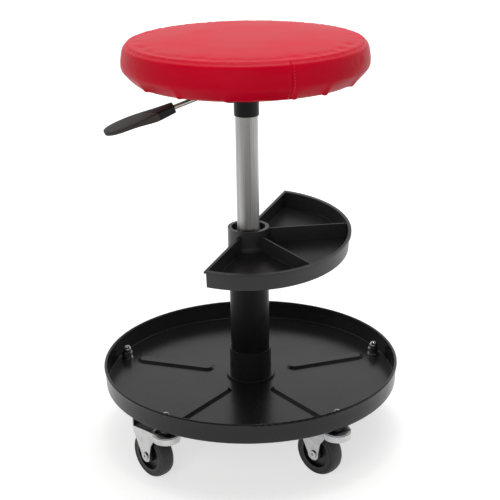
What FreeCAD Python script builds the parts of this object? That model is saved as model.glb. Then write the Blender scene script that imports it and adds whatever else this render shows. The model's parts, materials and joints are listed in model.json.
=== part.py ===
import FreeCAD, Part
import math
import os

# Creeper seat: a round padded stool on a gas lift, standing on a deep round
# steel pan with five swivel castors, with a half-round tool tray that turns
# on the column. Millimetres. The origin is on the floor, on the column's
# axis; +Z is up, -Y is the front, +X is the right hand.

V = FreeCAD.Vector
ORIGIN = V(0, 0, 0)
UP = V(0, 0, 1)
overrun = 5.0                   # how far every cutting tool passes its face
bond_gap = 0.05                 # gap between glued, welded or clamped pieces
running_gap = 0.08              # radial clearance of a turning or sliding fit
seat_gap = 0.3                  # gap between faces that turn on each other

# Castor wheel
wheel_diameter = 60.0
wheel_width = 19.0
tyre_thickness = 7.0
tyre_shoulder = 3.5
core_web = 7.0
core_hub_radius = 9.0
core_rim = 4.0
core_side_play = 0.6
axle_radius = 3.0
axle_head_radius = 5.0
axle_head_height = 1.6
axle_hollow_radius = 1.4
axle_hollow_depth = 2.2

# Castor fork and swivel
castor_trail = 27.0
fork_sheet = 2.0
fork_side_gap = 1.5
fork_top_gap = 1.0
fork_reach = 51.0
fork_skirt_depth = 2.5
fork_rear_rise = 10.0
leg_tip_radius = 8.0
leg_front_share = 0.36
leg_waist_share = 0.55
race_radius = 17.0
race_rim_height = 3.4
race_line_gap = 0.7
ball_radius = 2.0
ball_race_inset = 6.0
balls_per_castor = 10
cup_sheet = 2.0
cup_crown_height = 2.2
cup_neck_radius = 8.0
cup_dome_share = 0.6
stud_radius = 4.0
stud_head_radius = 6.5
stud_head_height = 2.2
collar_height = 3.7

# Castor places on the pan
castor_rim_inset = 15.0
castor_names = ["back", "left", "front_left", "front_right", "right"]
first_castor_angle = 90.0
castor_trail_angles = [250.0, 75.0, 132.0, 137.5, 138.0]

# Bolt stack on the pan floor
washer_radius = 8.0
washer_height = 1.6
spring_washer_radius = 7.4
spring_washer_height = 2.0
spring_washer_split = 1.2
nut_across_flats = 13.0
nut_hex_height = 6.5
nut_dome_inset = 0.6
nut_total_height = 15.0
stud_in_nut = 10.0

# Base pan
pan_sheet = 1.5
pan_rim_radius = 190.5
pan_depth = 27.0
pan_wall_draft = 2.0
pan_corner_radius = 3.0
pan_roll_radius = 1.9
bead_inner_end = 50.0
bead_bolt_gap = 15.5
bead_foot_width = 22.0
bead_crest_width = 13.0
bead_height = 3.0

# Column socket and its flange
socket_wall = 2.0
socket_height = 40.0
socket_below_pan = 14.0
flange_width = 4.5
flange_height = 3.2

# Column tube of the gas lift
column_radius = 25.0
column_foot_step = 1.0
column_wall = 2.5
column_taper_height = 70.0
column_length = 189.5
column_floor = 4.0
column_foot_drop = 2.0

# Guide sleeve in the column's mouth
sleeve_length = 82.0
sleeve_neck_step = 1.1
sleeve_neck_length = 23.5
sleeve_pocket_depth = 6.0
sleeve_inner_wall = 2.4
sleeve_outer_wall = 1.8
sleeve_rib_count = 12
sleeve_rib_width = 1.4

# Piston rod, piston and thrust bearing
rod_radius = 4.0
rod_below_floor = 5.0
clip_radius = 8.5
clip_height = 1.8
thrust_race_radius = 11.0
thrust_race_height = 1.6
thrust_ball_radius = 2.0
thrust_ball_circle = 8.0
thrust_ball_count = 10
buffer_radius = 10.0
buffer_height = 12.0
piston_height = 11.0
piston_groove = 2.0

# Chrome pressure tube
tube_radius = 14.0
tube_wall = 1.5
tube_in_column = 27.5
tube_top_drop = 13.5
tube_taper_length = 29.0
tube_tip_step = 1.0
tube_head_length = 22.0
guide_length = 24.0
valve_radius = 2.5
valve_proud = 3.6
valve_length = 20.0

# Seat plate, mechanism box and taper socket
plate_sheet = 2.5
plate_hem_gap = 8.392
plate_corner = 18.0
box_side = 64.0
box_height = 22.0
box_sheet = 2.0
box_corner = 8.0
taper_socket_wall = 1.5
taper_socket_lap = 3.0
taper_socket_round = 0.8
screw_inset = 15.0
screw_radius = 3.0
screw_head_radius = 6.0
screw_head_height = 3.2
tee_barrel_radius = 4.0
tee_flange_radius = 9.0
tee_flange_height = 1.2

# Lever, its bracket and paddle; the lever is drawn along +X, then turned
lever_azimuth = 193.0
lever_pivot_inset = 10.0
lever_pivot_drop = 8.0
lever_blade_thickness = 5.0
lever_blade_height = 4.0
lever_hub_radius = 3.6
lever_blade_back = 5.0
lever_rod_radius = 3.0
lever_blade_front = 9.0
lever_rod_in_paddle = 12.0
lever_rod_slope = 18.0
lever_slot_width = 8.4
pin_radius = 2.0
pin_head_radius = 3.2
pin_head_height = 1.0
bracket_sheet = 2.0
bracket_length = 14.0
bracket_depth = 11.5
paddle_start_reach = 90.0
paddle_end_reach = 180.0
paddle_slope = 18.2
paddle_socket_width = 14.0
paddle_socket_height = 9.6
paddle_blade_width = 31.0
paddle_blade_thickness = 5.2
paddle_roll = -9.3
paddle_rise = 0.2
paddle_edge_round = 1.8
# Each station: shares of the length, of the change in width and in height, and of the width left at the end
paddle_station_shares = [
    (0.0, 0.0, 0.0, 1.0), (0.25, 0.33, -0.4, 1.0), (0.43, 0.7, 0.31, 1.0), (0.62, 1.0, 1.0, 1.0),
    (0.85, 1.0, 1.0, 0.88), (0.96, 1.0, 1.0, 0.6), (1.0, 1.0, 1.0, 0.28)]

# Seat cushion
seat_height = 521.5
seat_radius = 150.7
cushion_height = 49.5
seat_crown = 4.2
shoulder_inset = 11.7
shoulder_drop = 13.5
bulge_drop = 24.5
tuck_drop = 35.5
tuck_inset = 12.4
tuck_round = 2.4
side_draw = 1.7
cover_thickness = 1.2
board_inset = 14.7
hem_width = 24.0
board_thickness = 9.0
foam_gap = 0.15
staple_count = 24
staple_inset = 12.0
staple_length = 10.0
staple_wire = 0.8

# Tool tray on the column
tray_radius = 129.5
tray_rim_rise = 25.2
tray_depth = 22.0
tray_wall = 1.6
tray_floor = 2.2
tray_wall_draft = 1.2
tray_lip_reach = 2.0
tray_lip_height = 2.4
tray_sector_angle = 180.0
tray_first_edge_angle = -113.5
tray_compartments = 3
tray_divider = 1.8
tray_divider_drop = 1.2
tray_droop = 6.1
hub_wall = 4.7
hub_length = 28.2
hub_round = 2.5
hub_flare_reach = 5.75
hub_flare_height = 9.0

# Sizes worked out from the ones above
wheel_radius = wheel_diameter / 2
ball_circle_radius = race_radius - ball_race_inset
fork_inner_half = wheel_width / 2 + fork_side_gap
fork_outer_half = fork_inner_half + fork_sheet
crown_underside = wheel_diameter + fork_top_gap
crown_top = crown_underside + fork_sheet
race_rim_top = crown_top + race_rim_height
ball_height = crown_top + bond_gap + ball_radius
cup_underside = ball_height + ball_radius + bond_gap
cup_rim_bottom = race_rim_top + race_line_gap
cup_top = cup_underside + cup_sheet
cup_neck_top = cup_top + cup_crown_height
pan_underside = cup_neck_top + collar_height
pan_floor = pan_underside + pan_sheet
castor_circle_radius = pan_rim_radius - castor_rim_inset
bead_outer_end = castor_circle_radius - bead_bolt_gap
pan_rim_top = pan_underside + pan_depth
washer_top = pan_floor + washer_height
nut_bottom = washer_top + spring_washer_height
nut_dome_radius = nut_across_flats / 2 - nut_dome_inset
socket_radius = column_radius + socket_wall
flange_radius = socket_radius + flange_width
socket_top = pan_floor + socket_height
socket_bottom = pan_underside - socket_below_pan
flange_bore_radius = socket_radius + bond_gap
column_foot_radius = column_radius - column_foot_step
column_bore_radius = column_radius - column_wall
column_bottom = socket_bottom + column_foot_drop
column_top = column_bottom + column_length
column_taper_top = column_bottom + column_taper_height
column_inside = column_bottom + column_floor
sleeve_bottom = column_top - sleeve_length
sleeve_top = column_top + sleeve_neck_length
sleeve_neck_radius = column_bore_radius - sleeve_neck_step
sleeve_pocket_inner = tube_radius + sleeve_inner_wall
sleeve_pocket_outer = sleeve_neck_radius - sleeve_outer_wall
thrust_ball_height = column_inside + thrust_race_height + bond_gap + thrust_ball_radius
upper_race_bottom = thrust_ball_height + thrust_ball_radius + bond_gap
buffer_bottom = upper_race_bottom + thrust_race_height
rod_bottom = column_bottom - rod_below_floor
tube_bore_radius = tube_radius - tube_wall
tube_tip_radius = tube_radius - tube_tip_step
tube_bottom = column_top - tube_in_column
guide_top = tube_bottom + guide_length
piston_bottom = guide_top + seat_gap
board_underside = seat_height - cushion_height
plate_underside = board_underside - plate_sheet
tube_top = plate_underside - tube_top_drop
tube_head_bottom = tube_top - tube_head_length
tube_taper_start = tube_top - tube_taper_length
valve_top = tube_top + valve_proud
taper_socket_radius = tube_radius + taper_socket_wall
taper_socket_bottom = tube_taper_start - taper_socket_lap
box_bottom = plate_underside - box_height
lever_pivot_height = plate_underside - lever_pivot_drop
lever_pivot_reach = box_side / 2 - lever_pivot_inset
lever_bend_reach = lever_pivot_reach + lever_blade_front
lever_rod_end_reach = paddle_start_reach + lever_rod_in_paddle
board_top = board_underside + board_thickness
board_radius = seat_radius - board_inset
shoulder_radius = seat_radius - shoulder_inset
hem_inner_radius = board_radius - hem_width
staple_circle_radius = board_radius - staple_inset
plate_side = hem_inner_radius * math.sqrt(2) - plate_hem_gap
screw_pitch = plate_side - 2 * screw_inset
hem_underside = board_underside - cover_thickness - bond_gap
hub_bottom = column_top + seat_gap
hub_bore_radius = sleeve_neck_radius + running_gap
hub_radius = hub_bore_radius + hub_wall
hub_top = hub_bottom + hub_length
hub_flare_radius = hub_radius + hub_flare_reach
tray_rim_height = hub_bottom + tray_rim_rise
tray_middle_angle = tray_first_edge_angle + tray_sector_angle / 2


def at(radius, angle, height=0.0):
    """Point at a radius and an azimuth in degrees about the column."""
    turn = math.radians(angle)
    return V(radius * math.cos(turn), radius * math.sin(turn), height)


def outline(start, steps):
    """Closed wire in the XZ plane. A step is (x, z) or (mid x, mid z, x, z)."""
    edges = []
    here = V(start[0], 0, start[1])
    for step in steps + [start]:
        there = V(step[-2], 0, step[-1])
        if len(step) == 4:
            edges.append(Part.Arc(here, V(step[0], 0, step[1]), there).toShape())
        elif here.distanceToPoint(there) > bond_gap / 10:
            edges.append(Part.LineSegment(here, there).toShape())
        here = there
    return Part.Wire(edges)


def turned(start, steps):
    """Solid of revolution about the column's axis."""
    return Part.Face(outline(start, steps)).revolve(ORIGIN, UP, 360)


def ring(inner, outer, low, high):
    """Plain ring or, with an inner radius of zero, a disc."""
    body = Part.makeCylinder(outer, high - low, V(0, 0, low))
    if inner > 0:
        body = body.cut(Part.makeCylinder(inner, high - low + 2 * overrun, V(0, 0, low - overrun)))
    return body


def block(low, high):
    """Box from its lowest corner to its highest."""
    return Part.makeBox(high[0] - low[0], high[1] - low[1], high[2] - low[2], V(*low))


def spun(shape, angle):
    """Copy turned about the column's axis."""
    return shape.rotated(ORIGIN, UP, angle)


def many(shape, count, offset=0.0):
    """Copies of a shape spread evenly round the column's axis."""
    return [spun(shape, offset + 360.0 * index / count) for index in range(count)]


def fused(shapes):
    """One solid from shapes that share volume."""
    body = shapes[0]
    if len(shapes) > 1:
        body = body.fuse(shapes[1:])
    return body.removeSplitter()


def hexagon(across_flats, low, high):
    """Upright hexagonal bar."""
    corner = across_flats / math.sqrt(3)
    points = [at(corner, 60.0 * side, low) for side in range(7)]
    face = Part.Face(Part.makePolygon(points))
    return face.extrude(V(0, 0, high - low))


def stadium(x_start, x_end, width, height):
    """Flat wire with round ends along X, at one height."""
    half = width / 2
    left, right = x_start + half, x_end - half
    corner = half * math.sin(math.radians(45))
    edges = [
        Part.LineSegment(V(left, -half, height), V(right, -half, height)),
        Part.Arc(V(right, -half, height), V(right + corner, -corner, height), V(right + half, 0, height)),
        Part.Arc(V(right + half, 0, height), V(right + corner, corner, height), V(right, half, height)),
        Part.LineSegment(V(right, half, height), V(left, half, height)),
        Part.Arc(V(left, half, height), V(left - corner, corner, height), V(left - half, 0, height)),
        Part.Arc(V(left - half, 0, height), V(left - corner, -corner, height), V(left, -half, height)),
    ]
    return Part.Wire([edge.toShape() for edge in edges])


def rounded_plate(side, corner, low, high):
    """Square plate with rounded corners, centred on the column's axis."""
    half = side / 2
    body = block((-half, -half, low), (half, half, high))
    upright = [edge for edge in body.Edges if edge.BoundBox.ZLength > (high - low) / 2]
    return body.makeFillet(corner, upright)


# Base pan and what is welded to it

def make_bead(low, spread):
    """Tapered radial bead; spread narrows it for the hollow side."""
    foot = stadium(bead_inner_end + spread, bead_outer_end - spread, bead_foot_width - 2 * spread, low)
    inset = (bead_foot_width - bead_crest_width) / 2 + spread
    crest = stadium(bead_inner_end + inset, bead_outer_end - inset, bead_foot_width - 2 * inset,
                    low + bead_height)
    return Part.makeLoft([foot, crest], True, True)


def make_base_pan():
    wall_foot = pan_rim_radius - pan_wall_draft
    corner = pan_corner_radius
    inner_corner = corner - pan_sheet
    bite = corner * (1 - math.sin(math.radians(45)))
    inner_bite = inner_corner * (1 - math.sin(math.radians(45)))
    roll_height = pan_rim_top - pan_roll_radius
    roll_circle = pan_rim_radius - pan_roll_radius
    foot_in = wall_foot - pan_sheet
    shell = turned(
        (socket_radius + bond_gap, pan_underside),
        [(wall_foot - corner, pan_underside),
         (wall_foot - bite, pan_underside + bite, wall_foot, pan_underside + corner),
         (roll_circle + pan_sheet / 2, roll_height),
         (roll_circle - pan_sheet / 2, roll_height),
         (foot_in, pan_floor + inner_corner),
         (foot_in - inner_bite, pan_floor + inner_bite, foot_in - inner_corner, pan_floor),
         (socket_radius + bond_gap, pan_floor)])
    roll = Part.makeTorus(roll_circle, pan_roll_radius, V(0, 0, roll_height))
    body = shell.fuse(roll)
    beads = many(make_bead(pan_floor - bond_gap, 0.0), len(castor_names), first_castor_angle)
    hollows = many(make_bead(pan_underside - bond_gap, pan_sheet / 2), len(castor_names), first_castor_angle)
    body = body.fuse(beads).cut(hollows)
    hole = Part.makeCylinder(stud_radius + bond_gap, pan_sheet + 2 * overrun,
                             V(castor_circle_radius, 0, pan_underside - overrun))
    return body.cut(many(hole, len(castor_names), first_castor_angle)).removeSplitter()


def make_column_socket():
    """Weld-on tube with a taper bore that grips the column's foot."""
    slope = (column_radius - column_foot_radius) / column_taper_height
    bore_low = column_foot_radius + bond_gap - slope * column_foot_drop
    bore_high = bore_low + slope * (socket_top - socket_bottom)
    return turned((bore_low, socket_bottom),
                  [(socket_radius, socket_bottom), (socket_radius, socket_top), (bore_high, socket_top)])


def make_socket_flange():
    body = ring(flange_bore_radius, flange_radius, pan_floor, pan_floor + flange_height)
    rim = [edge for edge in body.Edges
           if edge.BoundBox.ZMin > pan_floor and edge.BoundBox.XMax > flange_bore_radius + bond_gap]
    return body.makeFillet(flange_height / 3, rim)


def make_column_tube():
    return turned(
        (rod_radius + running_gap, column_bottom),
        [(column_foot_radius, column_bottom), (column_radius, column_taper_top),
         (column_radius, column_top), (column_bore_radius, column_top),
         (column_bore_radius, column_inside), (rod_radius + running_gap, column_inside)])


def make_guide_sleeve():
    """Plastic guide: a plug in the column and a neck that the tool tray turns on."""
    bore = tube_radius + running_gap
    plug = column_bore_radius - bond_gap
    shelf = column_top - bond_gap
    body = turned((bore, sleeve_bottom),
                  [(plug, sleeve_bottom), (plug, shelf), (sleeve_neck_radius, shelf),
                   (sleeve_neck_radius, sleeve_top), (bore, sleeve_top)])
    pocket_floor = sleeve_top - sleeve_pocket_depth
    pocket = ring(sleeve_pocket_inner, sleeve_pocket_outer, pocket_floor, sleeve_top + overrun)
    rib = block((sleeve_pocket_inner - sleeve_rib_width, -sleeve_rib_width / 2, pocket_floor),
                (sleeve_pocket_outer + sleeve_rib_width, sleeve_rib_width / 2, sleeve_top + 2 * overrun))
    return body.cut(pocket.cut(many(rib, sleeve_rib_count)))


# Gas lift, inside

def make_thrust_race(low, bore):
    return ring(bore, thrust_race_radius, low, low + thrust_race_height)


def make_thrust_balls():
    ball = Part.makeSphere(thrust_ball_radius, V(thrust_ball_circle, 0, thrust_ball_height))
    return Part.makeCompound(many(ball, thrust_ball_count))


def make_piston_rod():
    return ring(0.0, rod_radius, rod_bottom, piston_bottom)


def make_piston():
    outer = tube_bore_radius - running_gap
    body = ring(0.0, outer, piston_bottom, piston_bottom + piston_height)
    low = piston_bottom + (piston_height - piston_groove) / 2
    groove = ring(outer - piston_groove, outer + overrun, low, low + piston_groove)
    return body.cut(groove)


def make_rod_clip():
    """Spring clip under the column's floor, open on one side."""
    top = column_bottom - seat_gap
    body = ring(rod_radius, clip_radius, top - clip_height, top)
    mouth = block((0, -rod_radius / 2, top - clip_height - overrun),
                  (clip_radius + overrun, rod_radius / 2, top + overrun))
    return body.cut(mouth)


def make_buffer():
    body = ring(rod_radius + bond_gap, buffer_radius, buffer_bottom, buffer_bottom + buffer_height)
    rims = [edge for edge in body.Edges
            if edge.BoundBox.XMax > buffer_radius - bond_gap and len(edge.Vertexes) == 1]
    return body.makeFillet(buffer_height / 6, rims)


def make_pressure_tube():
    body = turned((0, tube_bottom),
                  [(tube_radius, tube_bottom), (tube_radius, tube_taper_start),
                   (tube_tip_radius, tube_top), (0, tube_top)])
    chamber = Part.makeCylinder(tube_bore_radius, tube_head_bottom - tube_bottom + overrun,
                                V(0, 0, tube_bottom - overrun))
    port = Part.makeCylinder(valve_radius + running_gap, tube_head_length + 2 * overrun,
                             V(0, 0, tube_head_bottom - overrun))
    return body.cut([chamber, port])


def make_end_guide():
    return ring(rod_radius + running_gap, tube_bore_radius - bond_gap, tube_bottom + bond_gap, guide_top)


def make_valve_pin():
    return ring(0.0, valve_radius, valve_top - valve_length, valve_top)


# Seat plate, mechanism and lever

def screw_places():
    half = screw_pitch / 2
    return [V(x, y, 0) for x in (-half, half) for y in (-half, half)]


def make_seat_plate():
    body = rounded_plate(plate_side, plate_corner, plate_underside, board_underside)
    for place in screw_places():
        hole = Part.makeCylinder(screw_radius + bond_gap, plate_sheet + 2 * overrun,
                                 place + V(0, 0, plate_underside - overrun))
        body = body.cut(hole)
    return body


def along_lever(shape):
    """Turn what was drawn along +X to the lever's own azimuth."""
    return spun(shape, lever_azimuth)


def make_mechanism_box():
    """Pressed box under the seat plate with a slot that the lever leaves by."""
    body = rounded_plate(box_side, box_corner, box_bottom, plate_underside - bond_gap)
    inside = rounded_plate(box_side - 2 * box_sheet, box_corner - box_sheet, box_bottom + box_sheet,
                           plate_underside + overrun)
    slot = block((box_side / 2 - overrun, -lever_slot_width / 2, box_bottom + box_sheet),
                 (box_side / 2 + overrun, lever_slot_width / 2, plate_underside + overrun))
    socket_hole = Part.makeCylinder(taper_socket_radius + bond_gap, 2 * box_sheet + overrun,
                                    V(0, 0, box_bottom - overrun))
    body = along_lever(body.cut([inside, slot]))
    return body.cut(socket_hole)


def make_taper_socket():
    slope = (tube_radius - tube_tip_radius) / (tube_top - tube_taper_start)
    top = box_bottom + box_sheet
    grip = tube_radius + bond_gap
    taper_end = grip - slope * (top - tube_taper_start)
    body = turned((grip, taper_socket_bottom),
                  [(taper_socket_radius, taper_socket_bottom), (taper_socket_radius, top),
                   (taper_end, top), (grip, tube_taper_start)])
    rim = [edge for edge in body.Edges
           if edge.BoundBox.ZMax < taper_socket_bottom + bond_gap and edge.BoundBox.XMax > grip + bond_gap]
    return body.makeFillet(taper_socket_round, rim)


def make_lever_bracket():
    """Two ears under the seat plate, one each side of the lever's blade."""
    inner = lever_blade_thickness / 2 + seat_gap
    outer = inner + bracket_sheet
    near, far = lever_pivot_reach - bracket_length / 2, lever_pivot_reach + bracket_length / 2
    low, high = plate_underside - bracket_depth, plate_underside - bond_gap
    ears = [block((near, -outer, low), (far, -inner, high)), block((near, inner, low), (far, outer, high))]
    bridge = block((near, -outer, plate_underside - bracket_sheet / 2), (far, outer, high))
    hole = Part.makeCylinder(pin_radius + bond_gap, 4 * inner + 2 * overrun,
                             V(lever_pivot_reach, -2 * inner - overrun, lever_pivot_height), V(0, 1, 0))
    return along_lever(fused(ears + [bridge]).cut(hole))


def make_pivot_pin():
    half = lever_blade_thickness / 2 + seat_gap + bracket_sheet + bond_gap
    across = V(0, 1, 0)
    pin = Part.makeCylinder(pin_radius, 2 * half, V(lever_pivot_reach, -half, lever_pivot_height), across)
    head = Part.makeCylinder(pin_head_radius, pin_head_height,
                             V(lever_pivot_reach, half, lever_pivot_height), across)
    return along_lever(fused([pin, head]))


def rod_axis():
    slope = math.radians(lever_rod_slope)
    return V(math.cos(slope), 0, -math.sin(slope))


def rod_start():
    return V(lever_pivot_reach, 0, lever_pivot_height)


def rod_length():
    return (lever_rod_end_reach - lever_pivot_reach) / math.cos(math.radians(lever_rod_slope))


def rod_height(reach):
    """Height of the sloping rod's centre line at a reach from the column."""
    return lever_pivot_height - (reach - lever_pivot_reach) * math.tan(math.radians(lever_rod_slope))


def make_lever_rod():
    """Flattened inner blade over the valve pin, then a round rod sloping down."""
    half = lever_blade_thickness / 2
    low = valve_top + seat_gap
    blade = block((-lever_blade_back, -half, low), (lever_bend_reach, half, low + lever_blade_height))
    hub = Part.makeCylinder(lever_hub_radius, lever_blade_thickness,
                            V(lever_pivot_reach, -half, lever_pivot_height), V(0, 1, 0))
    rod = Part.makeCylinder(lever_rod_radius, rod_length(), rod_start(), rod_axis())
    trim = block((lever_pivot_reach - 2 * lever_rod_radius, -2 * lever_rod_radius, box_bottom),
                 (lever_bend_reach, -half, plate_underside))
    trims = [trim, trim.mirror(ORIGIN, V(0, 1, 0))]
    hole = Part.makeCylinder(pin_radius + running_gap, lever_blade_thickness + 2 * overrun,
                             V(lever_pivot_reach, -half - overrun, lever_pivot_height), V(0, 1, 0))
    body = fused([blade, hub, rod.cut(trims)])
    return along_lever(body.cut(hole))


def paddle_section(reach, width, height):
    """Upright rounded section of the paddle, its top on the XY plane."""
    half = width / 2
    edge = min(paddle_edge_round, height / 3, width / 3)
    corner = edge * (1 - math.sin(math.radians(45)))

    def p(y, z):
        return V(reach, y, z)

    edges = []
    for side in (1, -1):
        bottom, top = (-height, 0.0) if side > 0 else (0.0, -height)
        inside_bottom, inside_top = bottom + side * edge, top - side * edge
        edges += [
            Part.LineSegment(p(side * (edge - half), bottom), p(side * (half - edge), bottom)),
            Part.Arc(p(side * (half - edge), bottom), p(side * (half - corner), bottom + side * corner),
                     p(side * half, inside_bottom)),
            Part.LineSegment(p(side * half, inside_bottom), p(side * half, inside_top)),
            Part.Arc(p(side * half, inside_top), p(side * (half - corner), top - side * corner),
                     p(side * (half - edge), top)),
        ]
    return Part.Wire([piece.toShape() for piece in edges])


def make_lever_paddle():
    """Moulded handle: a thick socket on the rod running out into a flat blade."""
    length = paddle_end_reach - paddle_start_reach
    wires = []
    for reach_share, width_share, height_share, end_share in paddle_station_shares:
        width = paddle_socket_width + (paddle_blade_width - paddle_socket_width) * width_share
        height = paddle_socket_height + (paddle_blade_thickness - paddle_socket_height) * height_share
        wires.append(paddle_section(reach_share * length, width * end_share, height))
    body = Part.makeLoft(wires, True, True)
    body = body.rotated(ORIGIN, V(1, 0, 0), paddle_roll)
    body = body.rotated(ORIGIN, V(0, 1, 0), paddle_slope)
    top = rod_height(paddle_start_reach) + paddle_socket_height / 2 + paddle_rise
    body.translate(V(paddle_start_reach, 0, top))
    bore = Part.makeCylinder(lever_rod_radius + bond_gap, rod_length() + bond_gap, rod_start(), rod_axis())
    return along_lever(body.cut(bore))


# Seat cushion

def cushion_outline(inset):
    """Crown, rounded shoulder, bulged side and drawn-in tuck, moved in by an inset."""
    top = seat_height - inset
    side = seat_radius - inset
    slant = inset * math.sin(math.radians(45))
    crown_mid = (shoulder_radius / 2, top - seat_crown / 4)
    shoulder = (shoulder_radius, top - seat_crown)
    shoulder_mid = (seat_radius - seat_crown - slant, seat_height - shoulder_drop / 2 - slant)
    low_shoulder = (side - side_draw / 2, seat_height - shoulder_drop)
    bulge = (side, seat_height - bulge_drop)
    waist = (side - side_draw, seat_height - tuck_drop)
    tuck_end = (side - tuck_inset, hem_underside + inset)
    tuck_mid = (side - tuck_inset / 2 + tuck_round, (waist[1] + tuck_end[1]) / 2 - tuck_round)
    steps = [crown_mid + shoulder, shoulder_mid + low_shoulder, bulge + waist, tuck_mid + tuck_end]
    return (0.0, top), steps


def make_seat_cover():
    """Vinyl skin over the foam with its hem turned in under the board."""
    start, outer_steps = cushion_outline(0.0)
    outer = turned(start, outer_steps + [(0.0, hem_underside)])
    start, inner_steps = cushion_outline(cover_thickness)
    inner = turned(start, inner_steps + [(0.0, hem_underside + cover_thickness)])
    opening = ring(0.0, hem_inner_radius, hem_underside - overrun, board_underside)
    return outer.cut([inner, opening])


def make_seat_foam():
    """Foam block with its edge wrapped down round the board."""
    start, steps = cushion_outline(cover_thickness + foam_gap)
    body = turned(start, steps + [(0.0, hem_underside + cover_thickness + foam_gap)])
    board = ring(0.0, board_radius + bond_gap, hem_underside - overrun, board_top + bond_gap)
    tee = ring(0.0, tee_flange_radius + bond_gap, board_top, board_top + tee_flange_height + 2 * bond_gap)
    pockets = [tee.translated(place) for place in screw_places()]
    return body.cut([board] + pockets)


def make_seat_board():
    body = ring(0.0, board_radius, board_underside, board_top)
    for place in screw_places():
        hole = Part.makeCylinder(tee_barrel_radius + bond_gap, board_thickness + 2 * overrun,
                                 place + V(0, 0, board_underside - overrun))
        body = body.cut(hole)
    return body


def make_tee_nuts():
    nuts = []
    for place in screw_places():
        barrel = ring(screw_radius + bond_gap, tee_barrel_radius, board_underside + bond_gap, board_top)
        flange = ring(screw_radius + bond_gap, tee_flange_radius, board_top, board_top + tee_flange_height)
        nuts.append(fused([barrel, flange]).translated(place))
    return Part.makeCompound(nuts)


def make_seat_screws():
    screws = []
    for place in screw_places():
        shank = ring(0.0, screw_radius, plate_underside - screw_head_height, board_top)
        head = ring(0.0, screw_head_radius, plate_underside - screw_head_height, plate_underside)
        rim = [edge for edge in head.Edges
               if edge.BoundBox.ZMax < plate_underside - bond_gap and len(edge.Vertexes) == 1]
        head = head.makeFillet(screw_head_height / 2, rim)
        screws.append(fused([shank, head]).translated(place))
    return Part.makeCompound(screws)


def make_staples():
    half = staple_length / 2
    low = hem_underside - staple_wire
    staple = block((staple_circle_radius - staple_wire / 2, -half, low),
                   (staple_circle_radius + staple_wire / 2, half, hem_underside))
    return Part.makeCompound(many(staple, staple_count, 180.0 / staple_count))


# Tool tray

def sector(radius, low, high, draft=0.0):
    """Upright half-round block between the tray's two straight edges."""
    first = tray_first_edge_angle
    last = first + tray_sector_angle
    middle = tray_middle_angle
    wires = []
    for height, reach in ((low, radius - draft), (high, radius)):
        start, mid, end = at(reach, first, height), at(reach, middle, height), at(reach, last, height)
        quarter = at(reach, (first + middle) / 2, height)
        three_quarter = at(reach, (middle + last) / 2, height)
        centre = V(0, 0, height)
        edges = [Part.LineSegment(centre, start), Part.Arc(start, quarter, mid),
                 Part.Arc(mid, three_quarter, end), Part.LineSegment(end, centre)]
        wires.append(Part.Wire([edge.toShape() for edge in edges]))
    return Part.makeLoft(wires, True, True)


def inward(shape, distance):
    """Move a half-round block away from the straight edges."""
    return shape.translated(at(distance, tray_middle_angle))


def make_tool_tray():
    rim = tray_rim_height
    base = rim - tray_depth
    wall_radius = tray_radius - tray_lip_reach
    outside = sector(wall_radius, base, rim, tray_wall_draft)
    hollow = sector(wall_radius - 2 * tray_wall, base + tray_floor, rim + overrun, tray_wall_draft)
    inside = inward(hollow, tray_wall)
    lip = inward(sector(tray_radius + tray_lip_reach, rim - tray_lip_height, rim), -tray_lip_reach)
    keep = Part.makeCylinder(tray_radius, tray_lip_height, V(0, 0, rim - tray_lip_height))
    shell = fused([outside, lip.common(keep)]).cut(inside)
    dividers = []
    for index in range(1, tray_compartments):
        angle = tray_first_edge_angle + tray_sector_angle * index / tray_compartments
        wall = block((0, -tray_divider / 2, base + tray_floor / 2),
                     (wall_radius - tray_wall, tray_divider / 2, rim - tray_divider_drop))
        dividers.append(spun(wall, angle))
    flare = Part.makeCone(hub_flare_radius, hub_radius, hub_flare_height, V(0, 0, base + tray_floor / 2))
    inner_half = sector(wall_radius - tray_wall, base, rim)
    body = fused([shell] + dividers + [flare.common(inner_half)])
    droop_axis = at(1.0, 0.0)
    body = body.rotated(V(0, 0, rim), droop_axis, tray_droop)
    hub = ring(0.0, hub_radius, hub_bottom, hub_top)
    rims = [edge for edge in hub.Edges
            if len(edge.Vertexes) == 1 and edge.BoundBox.ZMax < hub_top - hub_round]
    hub = hub.makeFillet(hub_round, rims)
    body = fused([body, hub])
    bore = ring(0.0, hub_bore_radius, hub_bottom - tray_depth, hub_top + tray_depth)
    column_room = ring(0.0, column_radius + seat_gap, hub_bottom - tray_depth, hub_bottom)
    return body.cut([bore, column_room]).removeSplitter()


# Castors, drawn with the swivel on the origin and the wheel trailing to +X

def place_of(index):
    return at(castor_circle_radius, first_castor_angle + 360.0 * index / len(castor_names))


def on_castor(shape, index):
    """Turn a castor piece to its trail angle and move it to its swivel."""
    return spun(shape, castor_trail_angles[index]).translated(place_of(index))


def wheel_ring(profile_start, steps):
    """Solid of revolution about the wheel's axle; profile x is radius, z is side."""
    body = turned(profile_start, steps)
    body = body.rotated(ORIGIN, V(1, 0, 0), 90)
    return body.translated(V(castor_trail, 0, wheel_radius))


def make_tyre():
    half = wheel_width / 2
    inner = wheel_radius - tyre_thickness
    side = half - core_side_play
    shoulder = tyre_shoulder
    bite = shoulder * (1 - math.sin(math.radians(45)))
    return wheel_ring(
        (inner, -side),
        [(wheel_radius - shoulder, -half),
         (wheel_radius - bite, -half + bite, wheel_radius, -half + shoulder),
         (wheel_radius, half - shoulder),
         (wheel_radius - bite, half - bite, wheel_radius - shoulder, half),
         (inner, side)])


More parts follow.
